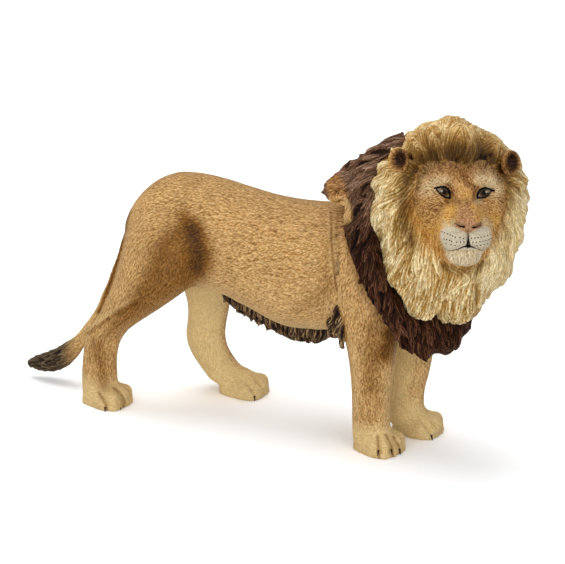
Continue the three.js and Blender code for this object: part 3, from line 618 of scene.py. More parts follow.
def painted_pvc(name, tones, layers=(), roughness=0.55, hair=(0.24, 3.0, 0.24), turn=0, gloss=0.14):
    """Soft PVC under matt paint. The tones are the wash in the hollows, the base coat and the dry-brushed
    ridges. Each layer is a value kept on the mesh and the three tones that it turns the paint to. hair is
    the width in millimetres of the finest strokes, how many times longer they are, and how much they
    darken, which is less where the paint is pale. The real strokes are finer, and these are as coarse as
    shows."""
    material = bpy.data.materials.new(name)
    material.use_nodes = True
    tree = material.node_tree
    shader = tree.nodes["Principled BSDF"]
    kept = dict.fromkeys(["strand", "upright", "pale"] + [value for value, _ in layers])
    for value in kept:
        kept[value] = node(tree, "ShaderNodeAttribute", {"attribute_name": value}).outputs["Fac"]
    paint = None
    for value, (hollow, base, ridge) in [(None, tones), *layers]:
        toned = node(tree, "ShaderNodeValToRGB", Fac=kept["strand"])
        toned.color_ramp.elements[0].color = colour(hollow)
        toned.color_ramp.elements[1].color = colour(ridge)
        toned.color_ramp.elements.new(base_share).color = colour(base)
        tone = toned.outputs["Color"]
        if paint:
            mix = node(tree, "ShaderNodeMix", {"data_type": "RGBA"}, _0=kept[value], _6=paint, _7=tone)
            paint = mix.outputs[2]
        else:
            paint = tone
    place = node(tree, "ShaderNodeTexCoord").outputs["Object"]
    width, longer, dark = hair
    ways = []
    for rotation, scale in (((0, 0, math.radians(turn)), (longer, 1, 1)), ((0, 0, 0), (1, 1, longer))):
        drawn = node(
            tree, "ShaderNodeMapping", {"vector_type": "TEXTURE"},
            Vector=place, Rotation=rotation, Scale=scale,
        )
        noise = node(
            tree, "ShaderNodeTexNoise", Vector=drawn.outputs[0], Scale=PER_METRE / width, Detail=1.0
        )
        ways.append(noise.outputs["Fac"])
    fine = node(tree, "ShaderNodeMix", _0=kept["upright"], _2=ways[0], _3=ways[1]).outputs[0]
    clouds = node(tree, "ShaderNodeTexNoise", Vector=place, Scale=PER_METRE / cloud_size, Detail=3.0)
    cloud = node(
        tree, "ShaderNodeMapRange",
        _0=clouds.outputs["Fac"], _1=0.3, _2=0.7, _3=1 - cloud_depth, _4=1 + cloud_depth,
    )
    faint = stroke_in_pale * dark
    least = node(tree, "ShaderNodeMapRange", _0=kept["pale"], _3=1 - dark, _4=1 - faint).outputs[0]
    most = node(tree, "ShaderNodeMapRange", _0=kept["pale"], _3=1 + dark, _4=1 + faint).outputs[0]
    stroke = node(
        tree, "ShaderNodeMapRange", _0=fine, _1=stroke_starts, _2=stroke_full, _3=least, _4=most
    )
    both = node(tree, "ShaderNodeMath", {"operation": "MULTIPLY"}, _0=cloud.outputs[0], _1=stroke.outputs[0])
    varied = node(tree, "ShaderNodeVectorMath", {"operation": "SCALE"}, _0=paint, Scale=both.outputs[0])
    tree.links.new(varied.outputs[0], shader.inputs["Base Color"])
    bump = node(tree, "ShaderNodeBump", Strength=0.5, Distance=stroke_depth / PER_METRE, Height=fine)
    tree.links.new(bump.outputs[0], shader.inputs["Normal"])
    shader.inputs["Roughness"].default_value = roughness
    shader.inputs["IOR"].default_value = paint_ior
    shader.inputs["Specular IOR Level"].default_value = gloss
    return material


# sandy brown coat: cream on the paws and in painted highlights, brown where it is sprayed and in painted
# shade, and nearly black on the tail's tuft
coat_tones = ["#865a26", "#c0965e", "#ebc993"]
coat_paint = painted_pvc("painted_pvc_coat", coat_tones, [
    ("pale", ["#b8935a", "#dcbf86", "#f2dfb2"]),
    # the wash and shade layers paint both the sprayed brown and the painted shade
    ("wash", ["#59380c", "#7c511e", "#aa7c40"]),
    ("shade", ["#2a1402", "#482b0b", "#704a1c"]),
    ("dark", ["#120b05", "#2e2214", "#75634a"]),
], hair=(0.24, 3.0, 0.28))


def finish_piece(name, bm, nodes, material):
    """Puts a finished mesh, still in millimetres, in the scene in metres."""
    bmesh.ops.scale(bm, vec=(1 / PER_METRE,) * 3, verts=bm.verts)
    for face in bm.faces:
        face.smooth = True
    mesh = bpy.data.meshes.new(name)
    bm.to_mesh(mesh)
    bm.free()
    mesh.materials.append(material)
    piece = placed(name, mesh)
    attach(piece, "root")
    if nodes:
        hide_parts(*nodes)


# the skin is parted again along the seams, and each part is closed by a flat cap inside its neighbour
whole = skin.as_bmesh()
for number, name in enumerate(body_names):
    piece = whole.copy()
    layer = piece.faces.layers.int["part"]
    others = [face for face in piece.faces if face[layer] != number]
    bmesh.ops.delete(piece, geom=others, context="FACES")
    rim = [edge for edge in piece.edges if edge.is_boundary]
    filled = bmesh.ops.holes_fill(piece, edges=rim, sides=0)["faces"]
    for edge in rim:
        edge.smooth = False
    bmesh.ops.triangulate(piece, faces=filled)
    finish_piece("painted_" + name, piece, [name], coat_paint)
whole.free()

# Mane collar: the dark outer mane, a thick PVC sleeve round the neck, shoulders and chest. Its sculpted
# locks lie over each other like shingles, each with finer strands, and its lower and rear edges are ragged.


def lay_locks(
    skin, flow, spacing, length, half_width, rise, seed, turn, strands, bends=0.16, fine=0.75, bald=0.0
):
    """Curved locks of hair over the surface, each lying on the one before, with no roots where it is bald.
    Gives how high the top one stands, and how light the paint is, from 0 in the gaps and grooves to 1 on the
    ridges. turn and bends spread the locks' directions and curves, strands is the width of the strands in
    them, and fine is how much the grooves between the strands show."""
    rng = np.random.default_rng(seed)
    height, ridge = np.zeros(len(skin.at)), np.zeros(len(skin.at))
    length, bald = np.broadcast_to(length, len(skin.at)), np.broadcast_to(bald, len(skin.at))
    roots = even_roots(skin, spacing, rng)
    for root in rng.permutation(roots[bald[roots] < 0.3]):
        size = rng.uniform(0.7, 1.3)
        bend = rng.normal(0, bends)
        angle = math.radians(rng.normal(0, turn))
        phase = rng.random()
        lighter = rng.normal(0, 0.1)
        aside = np.cross(skin.normal[root], flow[root])
        way = flow[root] * math.cos(angle) + aside * math.sin(angle)
        aside = aside * math.cos(angle) - flow[root] * math.sin(angle)
        reach = length[root] * size
        offset = skin.at - skin.at[root]
        near = np.flatnonzero((offset * offset).sum(axis=1) < (0.62 * reach) ** 2)
        offset = offset[near]
        along = offset @ way / reach + 0.5
        facing = skin.normal[near] @ skin.normal[root] > 0.1
        beside = offset @ aside - bend * reach * (along - 0.5) ** 2 * 2
        wide = half_width * size * np.clip(along / 0.25, 0.45, 1)
        wide = wide * np.sqrt(np.clip((1 - along) / 0.45, 0, 1))
        across = beside / np.maximum(wide, 1e-3)
        inside = facing & (along > 0) & (along < 1) & (np.abs(across) < 1)
        near, along, across, beside = near[inside], along[inside], across[inside], beside[inside]
        crown = np.sqrt(1 - across**2)
        stands = (0.30 + 0.70 * along) * (0.35 + 0.65 * crown) * size**0.5
        groove = 0.5 + 0.5 * np.cos(2 * math.pi * (beside / strands + phase))
        light = (1 - fine + fine * groove) * (0.25 + 0.75 * crown) * (0.55 + 0.45 * along) + lighter
        higher = stands > height[near]
        near = near[higher]
        height[near] = stands[higher]
        ridge[near] = light[higher]
    skin.push(rise * (height - 0.7) + 0.24 * strands * (ridge - 0.5))
    skin.refresh()
    return height, ridge


def add_tuft(bm, root, way, up, length, half_width, half_depth, bend):
    """One pointed lock of hair, added to a mesh to be melted with it."""
    way, up = Vector(way).normalized(), Vector(up).normalized()
    aside = up.cross(way).normalized()
    up = way.cross(aside)
    for vert in bmesh.ops.create_uvsphere(bm, u_segments=8, v_segments=8, radius=1)["verts"]:
        share = (vert.co.z + 1) / 2
        wide = vert.co.x * half_width * (1.25 - 0.75 * share)
        deep = vert.co.y * half_depth * (1.2 - 0.6 * share)
        bent = wide + bend * length * share**2
        vert.co = Vector(root) + way * (length * share) + aside * bent + up * deep


def edge_tufts(bm, path, way, count, length, half_width, half_depth, seed, spread):
    """Pointed locks set along a path, all pointing about one way, within a spread in degrees."""
    rng = np.random.default_rng(seed)
    path = [Vector(spot) for spot in path]
    for i in range(count):
        share = (i + rng.uniform(0.2, 0.8)) / count * (len(path) - 1)
        at = min(int(share), len(path) - 2)
        root = path[at].lerp(path[at + 1], share - at)
        edge = (path[at + 1] - path[at]).normalized()
        axis = edge.cross(Vector(way)).normalized()
        turned = Vector(way).normalized()
        turned.rotate(Quaternion(axis, math.radians(rng.normal(0, spread))))
        size = rng.uniform(0.65, 1.25)
        bend = rng.normal(0, 0.12)
        add_tuft(bm, root, turned, axis, length * size, half_width * size, half_depth, bend)


# its rear edge on the right side, its lower edge on the chest, its top and its small tuft over the withers
rear_edge = [
    (348, 212), (351, 225), (353, 240), (357, 258), (363, 275), (372, 293), (384, 311), (398, 330),
    (410, 344),
]
lower_edge = [
    (392, 326), (402, 337), (412, 346), (422, 352), (430, 350), (438, 343), (446, 349), (456, 346),
    (466, 332),
]
top_edge = [(340, 180), (346, 175), (353, 170), (362, 163), (373, 154), (384, 148)]
withers_edge = [(336, 176), (332.5, 180), (330.5, 185), (331, 191), (332, 197)]
collar = copy_of("mane_collar", grow=0.1)
collar_surface = BVHTree.FromBMesh(collar)
edge_tufts(
    collar, traced(collar_surface, rear_edge), way=(-0.12, -0.1, -1), count=36, length=2.3,
    half_width=0.8, half_depth=0.6, seed=11, spread=9,
)
edge_tufts(
    collar, traced(collar_surface, lower_edge), way=(0.1, 0, -1), count=28, length=2.2,
    half_width=0.9, half_depth=0.8, seed=12, spread=7,
)
edge_tufts(
    collar, traced(collar_surface, top_edge), way=(-0.8, 0.1, 0.25), count=20, length=2.2,
    half_width=0.75, half_depth=0.6, seed=15, spread=10,
)
edge_tufts(
    collar, traced(collar_surface, withers_edge), way=(-0.8, -0.3, -0.5), count=16, length=2.1,
    half_width=0.5, half_depth=0.5, seed=16, spread=22,
)
# the tuft over the withers is rounded off less, so that it keeps its point
withers_tip = (329, 187)
collar_skin = Skin(melted(collar, voxel=0.495))
from_tip = np.linalg.norm(on_page(collar_skin.at) - page_path(withers_tip), axis=1)
collar_skin.relax(5, 1 - 0.85 * ramp(from_tip, 3.5, 2.5))
collar_moves = [
    ((329, 203), (330, 200)), ((338, 212), (343, 204)), ((476, 322), (472, 321)), ((470, 342), (464, 338)),
    ((457, 357), (452, 353)), ((440, 362), (436, 353)), ((424, 359), (424, 361)), ((350, 171), (348, 167)),
]
collar_skin.nudge(collar_moves, reach=2.0)
collar_skin = collar_skin.finer()
mane_guides = [
    ((22, -4, 60), (-1, 0, -0.8)), ((22, 6, 58), (-1, 0, -0.8)), ((24, -12, 52), (-0.5, 0, -1)),
    ((26, -14, 42), (-0.25, 0, -1)), ((32, -13, 33), (0.15, 0, -1)), ((40, -8, 27), (0.25, 0, -1)),
    ((46, 4, 28), (0, 0, -1)), ((30, -10, 66), (-0.9, 0, -0.8)), ((36, 4, 70), (-1, 0, -0.1)),
    ((26, 14, 46), (-0.3, 0, -1)), ((34, 14, 34), (0, 0, -1)), ((48, 10, 45), (0.1, 0, -1)),
    ((40, 13, 60), (-0.5, 0.2, -1)), ((32, 8, 66), (-0.9, 0.2, -0.5)),
]
mane_flow = flow_field(collar_skin, mane_guides, spread=7)
height, ridge = lay_locks(
    collar_skin, mane_flow, spacing=1.9, length=5.2, half_width=0.7, rise=0.5, seed=13, turn=13, strands=0.46
)
fine = comb(collar_skin, mane_flow, spacing=0.55, length=2.2, half_width=0.2, turn=10, seed=14)
strand_depth = 0.08
collar_skin.push(strand_depth * (fine - 0.4))
collar_skin.refresh()
# the small tuft is golden, and a bare strip of coat shows below it
golden_line = [(333, 182), (336, 190), (339, 198)]
bare_line = [(335, 203), (342, 206), (344, 216)]
page = on_page(collar_skin.at)
collar_skin.note(
    strand=np.clip(0.75 * ridge + 0.35 * fine * height, 0, 1),
    golden=0.9 * band(page, golden_line, 2.5, 1.1),
    grizzled=ramp(collar_skin.at[:, 2], 46, 62),
    bare=band(page, bare_line, 2.1, 1.2),
)
collar_skin.note_flow(mane_flow)
# dark brown hair, brushed grey-brown over the neck and golden over the withers, duller than the coat
dark_hair = painted_pvc("painted_pvc_dark_hair", ["#0d0502", "#2d1508", "#7b533a"], [
    ("grizzled", ["#22130a", "#654732", "#b0917a"]),
    ("golden", ["#4a2c12", "#98693a", "#d3a970"]),
    ("bare", coat_tones),
], roughness=0.65, hair=(0.24, 7.0, 0.42), gloss=0.08)
finish_piece("painted_mane_collar", collar_skin.as_bmesh(), ["mane_collar"], dark_hair)

# Belly fringe and elbow tuft: strips of dark hair with ragged lower edges, moulded in PVC. The fringe is
# glued in under the belly, and the tuft is pegged behind the right elbow.
# the gap between the two stays open, and the strands next to the leg are golden
gap_moves = [((328, 342), (330, 336)), ((333, 342), (336, 339))]
golden_strands = [(343, 308), (348, 325), (349, 352)]


def fringe_piece(node_name, roots, way, count, length, half_width, seed):
    strip = copy_of(node_name, grow=0.05)
    edge_tufts(strip, roots, way, count, length, half_width, half_depth=0.55, seed=seed, spread=9)
    hair = Skin(melted(strip, voxel=0.42, least=0.05))
    hair.relax(3)
    hair.nudge(gap_moves, reach=1.2)
    hair = hair.finer()
    flow = flow_field(hair, [((0, 0, 0), way)], spread=1000)
    height, ridge = lay_locks(
        hair, flow, spacing=1.5, length=3.6, half_width=0.45, rise=0.4, seed=seed + 1, turn=9, strands=0.5
    )
    fine = comb(hair, flow, spacing=0.5, length=2.4, half_width=0.2, turn=7, seed=seed + 2)
    hair.note(
        strand=np.clip(0.8 * ridge + 0.4 * fine * height, 0, 1),
        golden=0.85 * band(on_page(hair.at), golden_strands, 1.3, 0.4),
    )
    hair.note_flow(flow)
    finish_piece("painted_" + node_name, hair.as_bmesh(), [node_name], fringe_paint)


# black-brown in the gaps, with light strokes dry-brushed over the strands, and golden next to the leg
fringe_paint = painted_pvc("painted_pvc_fringe", ["#100803", "#3a2412", "#b3946a"], [
    ("golden", ["#4a2d0c", "#94692f", "#d3ad6c"]),
], roughness=0.6, hair=(0.24, 6.0, 0.4))
hanging_line = [
    (-9.5, 2.0, 26.5), (-4, 2.0, 23.8), (2, 2.0, 21.5), (8, 2.0, 20.6), (14, 2.0, 21.3), (17.5, 2, 23.5),
]
elbow_line = traced(body_surface, [(337.5, 303), (341.5, 311), (345, 319), (346.5, 328), (346.5, 337)])
fringe_piece("belly_fringe", hanging_line, way=(-0.12, 0, -1), count=34, length=2.8, half_width=0.8, seed=21)
fringe_piece(
    "right_elbow_tuft", elbow_line, way=-0.5 * page_right - 0.85 * page_up - back,
    count=32, length=4.0, half_width=0.5, seed=31,
)

# Face ruff: the pale mane round the face, a PVC ring that covers the skull's edge, with its beard.
# Its locks sweep up from the forehead, out from the cheeks and down the beard, with brown at their roots.
head_middle = Vector((45.844, -1.668, 57.2))
head_roll, head_tilt, head_yaw = -4.5, -9, -55.5
head_turn = Euler([math.radians(v) for v in (head_roll, head_tilt, head_yaw)]).to_matrix()
head_axes = np.array(head_turn)
hairline_wide, hairline_rise, hairline_drop = 9.12, 6.46, 11.02


def in_head(points):
    """Ahead, left and up of the middle of the head."""
    return (points - np.array(head_middle)) @ head_axes


def ruff_way(left, up):
    """The way the hair grows at places left of and above the head's middle, and how far out they are, from 0
    at the face to 1 at the rim."""
    side = np.sign(left) + (left == 0)
    angle = np.degrees(np.arctan2(up + 1.5, np.abs(left)))
    lean = np.radians(np.interp(angle, [-90, -60, -25, 5, 35, 62, 90], [-90, -86, -76, -58, -18, 48, 90]))
    rim = np.hypot(left, up)
    line = np.where(up > 0, hairline_rise + 2.5, hairline_drop)
    out = (rim - np.hypot(hairline_wide * np.cos(np.radians(angle)), line * np.sin(np.radians(angle)))) / 7
    fore = np.interp(out, [-0.1, 0.3, 0.6, 1.0], [0.9, 0.3, 0.0, -0.9])
    return np.stack([fore, side * np.cos(lean), np.sin(lean)], axis=1) @ head_axes.T, out


# the lower rim: the cheek on the right side, the tip of the beard and the left side up to the ear. Each has
# the seed, number and length of its locks, the way they point and the pixels of their roots.
rims = [
    (41, 16, 2.2, (-0.05, -0.1, -1), [
        (386, 262), (394, 277), (403, 291), (411, 303), (418, 308), (426, 309),
    ]),
    (42, 24, 2.6, (0, 0, -1), [
        (426, 309), (434, 303), (441, 300), (448, 303), (456, 312), (466, 315), (476, 310),
    ]),
    (43, 26, 2.6, (0.35, 0.3, -1), [
        (478, 308), (486, 294), (497, 275), (508, 254), (516, 236), (521, 212), (524, 190),
    ]),
]
ring_surface = surface_of(copy_of("face_ruff"))
skull_surface = surface_of(copy_of("head"))
ruff = copy_of("face_ruff", "head", grow=0.16)
for seed, count, length, way, pixels in rims:
    roots = traced(ring_surface, pixels)
    edge_tufts(ruff, roots, way, count, length, half_width=0.8, half_depth=0.6, seed=seed, spread=8)
ruff_skin = Skin(melted(ruff, voxel=0.51))
ruff_skin.relax(6)
ruff_moves = [
    ((484, 300), (487, 303)), ((474, 312), (479, 315)), ((396, 300), (398, 299)), ((404, 314), (407, 312)),
    ((498, 134), (496, 136)),
]
ruff_skin.nudge(ruff_moves, reach=2.0)
ruff_skin = ruff_skin.finer()
_, left, up = in_head(ruff_skin.at).T
way, out = ruff_way(left, up)
way -= ruff_skin.normal * (way * ruff_skin.normal).sum(axis=1)[:, None]
way = unit(np.stack([ruff_skin.soften(column, 20) for column in way.T], axis=1))
# over the forehead the hair fans up and out on both sides of a parting, as the photograph shows: pixels and
# the way of the hair across and up the photograph
fan = [
    ((418, 165), -0.75, 0.65), ((411, 150), -0.75, 0.65), ((425, 156), -0.6, 0.8), ((420, 140), -0.6, 0.8),
    ((435, 156), -0.3, 1), ((432, 136), -0.45, 0.9), ((447, 157), -0.1, 1), ((446, 140), -0.25, 1),
    ((440, 124), -0.5, 0.85), ((456, 156), 0.0, 1), ((454, 138), -0.2, 1), ((464, 156), 0.35, 0.95),
    ((464, 140), 0.4, 0.9), ((462, 125), 0.35, 0.9), ((476, 156), 0.5, 0.85), ((476, 136), 0.55, 0.85),
    ((488, 158), 0.65, 0.75), ((489, 144), 0.7, 0.7), ((498, 165), 0.8, 0.6), ((501, 152), 0.8, 0.55),
]
fan_guides = [
    (root, page_right * across + page_up * rise)
    for pixel, across, rise in fan
    for root in traced(ring_surface, [pixel])
]
fan_way = flow_field(ruff_skin, fan_guides, spread=2.2)
near_fan = np.min([np.linalg.norm(ruff_skin.at - np.array(spot), axis=1) for spot, _ in fan_guides], axis=0)
in_fan = ramp(near_fan, 5.0, 2.5)[:, None]
way = unit(way * (1 - in_fan) + fan_way * in_fan)
# where the ring meets the face it thins out over the head, and goes on hidden inside the head
from_ring = np.array([ring_surface.find_nearest(spot)[3] for spot in ruff_skin.at])
from_skull = np.array([skull_surface.find_nearest(spot)[3] for spot in ruff_skin.at])
on_face = ramp(from_ring, 0.35, 0.8) * ramp(from_skull, 1.0, 0.5)
cheek_lock, fan_lock = 12.0, 7.0
lock_length = cheek_lock - (cheek_lock - fan_lock) * in_fan[:, 0]
height, ridge = lay_locks(
    ruff_skin, way, spacing=2.4, length=lock_length, half_width=1.3, rise=0.9, seed=51, turn=5, strands=0.62,
    bends=0.08, fine=0.6, bald=on_face,
)
fine = comb(ruff_skin, way, spacing=0.55, length=3.0, half_width=0.2, turn=7, seed=52)
clump = comb(ruff_skin, way, spacing=1.5, length=7.0, half_width=0.65, turn=7, seed=53, near=7)
ridge = ridge * (0.46 + 0.66 * clump)
clump_depth, ridge_depth, strand_depth = 0.3, 0.1, 0.06
ruff_skin.push(clump_depth * (clump - 0.5) * (1 - on_face))
# the ring's upper rear edge sinks under the mane
ruff_skin.swell((30.5, 4.0, 66.5), reach=4.0, height=-1.3)
sunk = on_face * (0.1 + ramp(from_ring, 0.4, 2.0))
ruff_skin.push(ridge_depth * (ridge - 0.5) + strand_depth * (fine - 0.4) - sunk)
ruff_skin.refresh()
up = in_head(ruff_skin.at)[:, 2]
page = on_page(ruff_skin.at)
# dark roots over the brow, painted shade beside the face and a painted shadow under the chin, and pale ends
# on both rims
face_side = [(407, 176), (403, 198), (404, 222), (413, 244)]
chin_line = [(446, 264), (458, 271), (472, 271), (484, 264)]
right_rim = [(376, 188), (375, 212), (381, 238), (388, 260)]
left_rim = [(521, 205), (514, 232), (503, 256), (492, 278)]
over_brow = 0.9 * ramp(out, 0.75, 0.12) * (0.45 + 0.55 * ramp(up, 0.0, 4.5)) * ramp(up, -5, 0)
shade_beside_face = 0.75 * brushed(page, 1.5, face_side)
shadow_under_chin = 0.55 * brushed(page, 1.3, chin_line)
root = np.max([over_brow, shade_beside_face, shadow_under_chin], axis=0)
strand = np.clip(1.2 * (0.8 * ridge + 0.35 * fine * height) - 0.04, 0, 1)
ruff_skin.note(
    root=root,
    strand=strand * (1 - 0.3 * root),
    ochre=np.maximum(ramp(out, 0.6, 0.0) * ramp(up, 3, -3) * 0.8, 0.35 * in_fan[:, 0]),
    rim=np.maximum(0.4 * band(page, right_rim, 3.2, 0.6), 0.9 * band(page, left_rim, 4.5, 1.0)),
    skin=on_face,
)
ruff_skin.note_flow(way)
# straw-coloured hair with dark roots, painted shade beside the face and under the chin, and with a little
# more shine than the dark mane
light_hair = painted_pvc("painted_pvc_light_hair", ["#412706", "#a97f3b", "#f8e6b4"], [
    ("ochre", ["#6d3f0e", "#b37a30", "#dcae62"]),
    ("rim", ["#8a6b3d", "#d8be85", "#f6e8c2"]),
    # the root tones also paint the shade beside the face and the shadow under the chin
    ("root", ["#1d0f01", "#4f3410", "#b9934f"]),
    ("skin", ["#7a4e1f", "#b08146", "#d9b47a"]),
], roughness=0.5, hair=(0.24, 6.0, 0.28))
finish_piece("painted_face_ruff", ruff_skin.as_bmesh(), ["face_ruff"], light_hair)

# Head: one PVC moulding with the face in fine relief, short fur combed back from the nose, and the nose,
# mouth, muzzle and brow painted by hand. The photograph shows the face nearly from the front.
head_skin = Skin(melted(copy_of("head", grow=0.14), voxel=0.325))
muzzle_end = ramp(in_head(head_skin.at)[:, 0], 11.5, 7.5)
head_skin.relax(8)
head_skin.relax(26, muzzle_end * 0.9)
head_skin = head_skin.finer()


def facing_us(skin):
    return ramp(skin.normal @ np.array(back), 0.0, 0.25) * ramp(in_head(skin.at)[:, 0], 1.5, 4.0)


# the relief of the face: the pixels along each form, its width and its height
face_forms = [
    # brows, sockets, the furrow of the forehead, the tear lines and the bridge of the nose
    (
        [
            [(428, 184), (436, 181), (445, 181.5), (452, 186)],
            [(475, 187), (481, 182), (489, 181), (497, 184)],
        ], 1.3, 0.55,
    ),
    ([[(438, 191), (444, 192.5), (449, 196)], [(478, 196), (484, 193.5), (490, 191.5)]], 1.15, -0.9),
    ([[(462, 170), (463.5, 177), (468, 182.5), (474, 187)]], 0.55, -0.8),
    ([[(449, 200), (442, 204), (437, 211), (434, 217)], [(479, 200), (486, 204), (491, 211)]], 0.8, -0.25),
    ([[(459, 196), (458, 206), (457, 217)], [(474, 196), (475, 206), (477, 217)]], 0.8, 0.3),
    ([[(453, 203), (449, 212), (447, 220)], [(480, 203), (483, 212), (484, 220)]], 1.0, -0.25),
    # the muzzle's two pads, the chin and the dip between the pads and the nose
    ([[(446, 236), (453, 239), (460, 240)], [(476, 240), (482, 239), (488, 236)]], 1.9, 0.75),
    ([[(454, 257), (468, 259), (480, 257)]], 1.7, 0.4),
    ([[(452, 227), (458, 231)], [(484, 227), (477, 231)]], 0.7, -0.25),
    # the nose: its tip, its upper edge, the wings and the nostrils
    ([[(463, 226), (472, 226)]], 1.3, 0.35),
    ([[(453, 222.6), (459, 221.8), (468, 222.6), (477, 221.8), (483, 222.4)]], 0.4, 0.22),
    ([[(456, 229), (462, 231), (468, 233), (474, 231), (481, 229)]], 0.35, 0.15),
    (
        [
            [(455, 223.4), (458, 225.6), (463.6, 226.8)],
            [(482, 223.6), (478.6, 226), (473.6, 227.4)],
        ], 0.34, -0.8,
    ),
    # the line under the nose and the mouth
    ([[(468.3, 232.5), (468.3, 239), (468.3, 247)]], 0.3, -0.6),
    ([[(468, 246.3), (463.5, 246.8), (457, 249.6), (451, 250.6), (446, 250.2)]], 0.3, -0.6),
    ([[(468, 246.3), (472.5, 247), (477, 249), (481.5, 250.3), (487, 249.6)]], 0.3, -0.6),
]
for paths, width, height in face_forms:
    head_skin.push(height * facing_us(head_skin) * brushed(on_page(head_skin.at), width, *paths))
head_skin.refresh()
head_surface = head_skin.surface()


def face_way(ahead, left, up):
    return tuple(head_turn @ Vector((ahead, left, up)))


face_guides = [
    ((466, 215), (-0.5, 0, 1)), ((466, 195), (-0.4, 0, 1)), ((466, 178), (-0.5, 0, 1)),
    ((440, 176), (-0.4, -0.5, 1)), ((492, 178), (-0.4, 0.5, 1)), ((425, 195), (-0.4, -1, -0.1)),
    ((500, 195), (-0.4, 1, -0.1)), ((425, 218), (-0.3, -1, -0.6)), ((497, 218), (-0.3, 1, -0.6)),
    ((443, 212), (-0.3, -1, -0.3)), ((488, 212), (-0.3, 1, -0.3)), ((447, 238), (-0.4, -1, -0.3)),
    ((487, 238), (-0.4, 1, -0.3)), ((467, 258), (0, 0, -1)), ((455, 257), (0, -0.1, -1)),
    ((478, 257), (0, 0.1, -1)),
]
face_guides = [
    (tuple(seen(head_surface, *spot) or head_middle), face_way(*way)) for spot, way in face_guides
]
face_flow = flow_field(head_skin, face_guides, spread=3.2)
short = comb(head_skin, face_flow, spacing=0.36, length=0.95, half_width=0.15, turn=13, seed=61)
chin_long = comb(head_skin, face_flow, spacing=0.6, length=3.4, half_width=0.22, turn=5, seed=62, near=9)
page, front = on_page(head_skin.at), facing_us(head_skin)
hairline_path = [
    (415, 188), (419, 176), (426, 167), (436, 161), (452, 159), (468, 160), (484, 162), (495, 168),
    (502, 179),
]
hairline = band(page, hairline_path, 1.5, 0.3)


def patches(*spots):
    """Soft round patches of paint: pixel, reach in millimetres and strength of each."""
    total = np.zeros(len(page))
    for column, row, reach, strength in spots:
        away = np.linalg.norm(page - page_path((column, row)), axis=1)
        total = np.maximum(total, strength * np.exp(-((away / reach) ** 2)))
    return total * front


muzzle_outline = [
    (460, 230), (453, 226.5), (446.5, 227), (441.5, 230.5), (440.2, 236), (441.8, 242), (444.6, 247),
    (446, 252), (447, 257), (451, 262), (458, 265.5), (468, 266.5), (477, 265), (482, 260), (485, 254),
    (486.5, 250), (489, 246), (491, 240), (490.8, 233), (488.4, 228), (483, 226), (476, 230),
    (468, 233.5),
]
nose_outline = [
    (454, 222.8), (461, 222), (468, 222.6), (475, 222), (482.5, 222.8), (480.5, 227.5), (475.5, 229.5),
    (471, 232.3), (465.6, 232.3), (461.5, 229.5), (456.5, 227),
]
white = ramp(beyond_outline(page, muzzle_outline), 0.5, -0.3) * front
nose = ramp(beyond_outline(page, nose_outline), 0.12, -0.2) * front
chin_starts, chin_full = page_path([(0, 249.5), (0, 251.5)])[:, 1]
on_chin = white * ramp(page[:, 1], chin_starts, chin_full)
pads = white - on_chin
long_hair = np.maximum(on_chin, hairline)
strand = (short * (1 - long_hair) + chin_long * long_hair) * (1 - pads) + 0.5 * pads
eye_lines = [
    [
        (434.5, 188.2), (437, 187.8), (440.5, 186.8), (444.5, 186.8), (447.5, 188.6), (449.6, 192),
        (450, 198),
    ], [
        (477.2, 197.8), (477.8, 193), (480.3, 189.4), (484.5, 187.9), (488.5, 188.8), (491.6, 190.4),
        (494, 190.6),
    ],
]
# the nostrils, the nose's upper edge, the mouth and the lower lids: each line's path and its half width at
# both ends in millimetres
ink_lines = [
    ([(454.6, 223.2), (457.5, 225.2), (460, 226.4), (464, 226.9)], 0.02, 0.24),
    ([(482.4, 223.4), (479.6, 225.6), (477, 227), (473.2, 227.6)], 0.02, 0.22),
    ([(454.6, 223.2), (461, 222.6)], 0.04, 0.0),
    ([(482.4, 223.4), (476, 222.8)], 0.04, 0.0),
    ([(468.2, 231.6), (468.3, 236), (468.3, 241)], 0.05, 0.20),
    ([(468.3, 240), (468.3, 245.6)], 0.18, 0.50),
    ([(468, 246.2), (463.5, 246.8), (457, 249.6), (451, 250.6), (446.4, 250.3)], 0.20, 0.03),
    ([(468, 246.2), (472.5, 247), (477, 249), (481.5, 250.3), (486, 250)], 0.20, 0.03),
    ([(434.8, 188.5), (437.4, 189), (438.8, 192.4), (441.6, 195.8), (446, 198), (450, 198.6)], 0.03, 0.14),
    ([(477.2, 198), (482.6, 198.4), (487.4, 196.4), (490.4, 193), (492.4, 190.6)], 0.13, 0.06),
]
ink_lines += [(line, 0.20, 0.26) for line in eye_lines]
ink = np.full(len(page), 1.0)
for path, start, end in ink_lines:
    away, along = to_path(page, page_path(path))
    ink = np.minimum(ink, away - (start + (end - start) * along))
ink[front < 0.5] = 1
cream = patches(
    (436, 184, 1.9, 0.9), (427, 188, 1.8, 0.7), (445, 181, 1.2, 0.8), (482, 178, 1.9, 0.85),
    (490, 182, 2.1, 0.95), (496, 189, 1.7, 0.8), (486, 171, 1.6, 0.6), (478, 200.5, 0.8, 0.8),
    (452, 223, 0.8, 0.7), (485, 222, 0.8, 0.7), (446, 225, 1.0, 0.7), (490, 226, 0.9, 0.6),
    (424, 178, 1.5, 0.4),
)
ochre = patches(
    (450, 210, 1.5, 0.9), (447, 219, 1.4, 0.8), (440, 228, 1.6, 0.8), (430, 233, 2.4, 0.9),
    (418, 226, 2.4, 0.8), (474, 208, 1.0, 0.8), (479, 216, 1.2, 0.8), (468, 197, 1.5, 0.5),
    (497, 222, 1.8, 0.8), (412, 212, 1.6, 0.5),
)
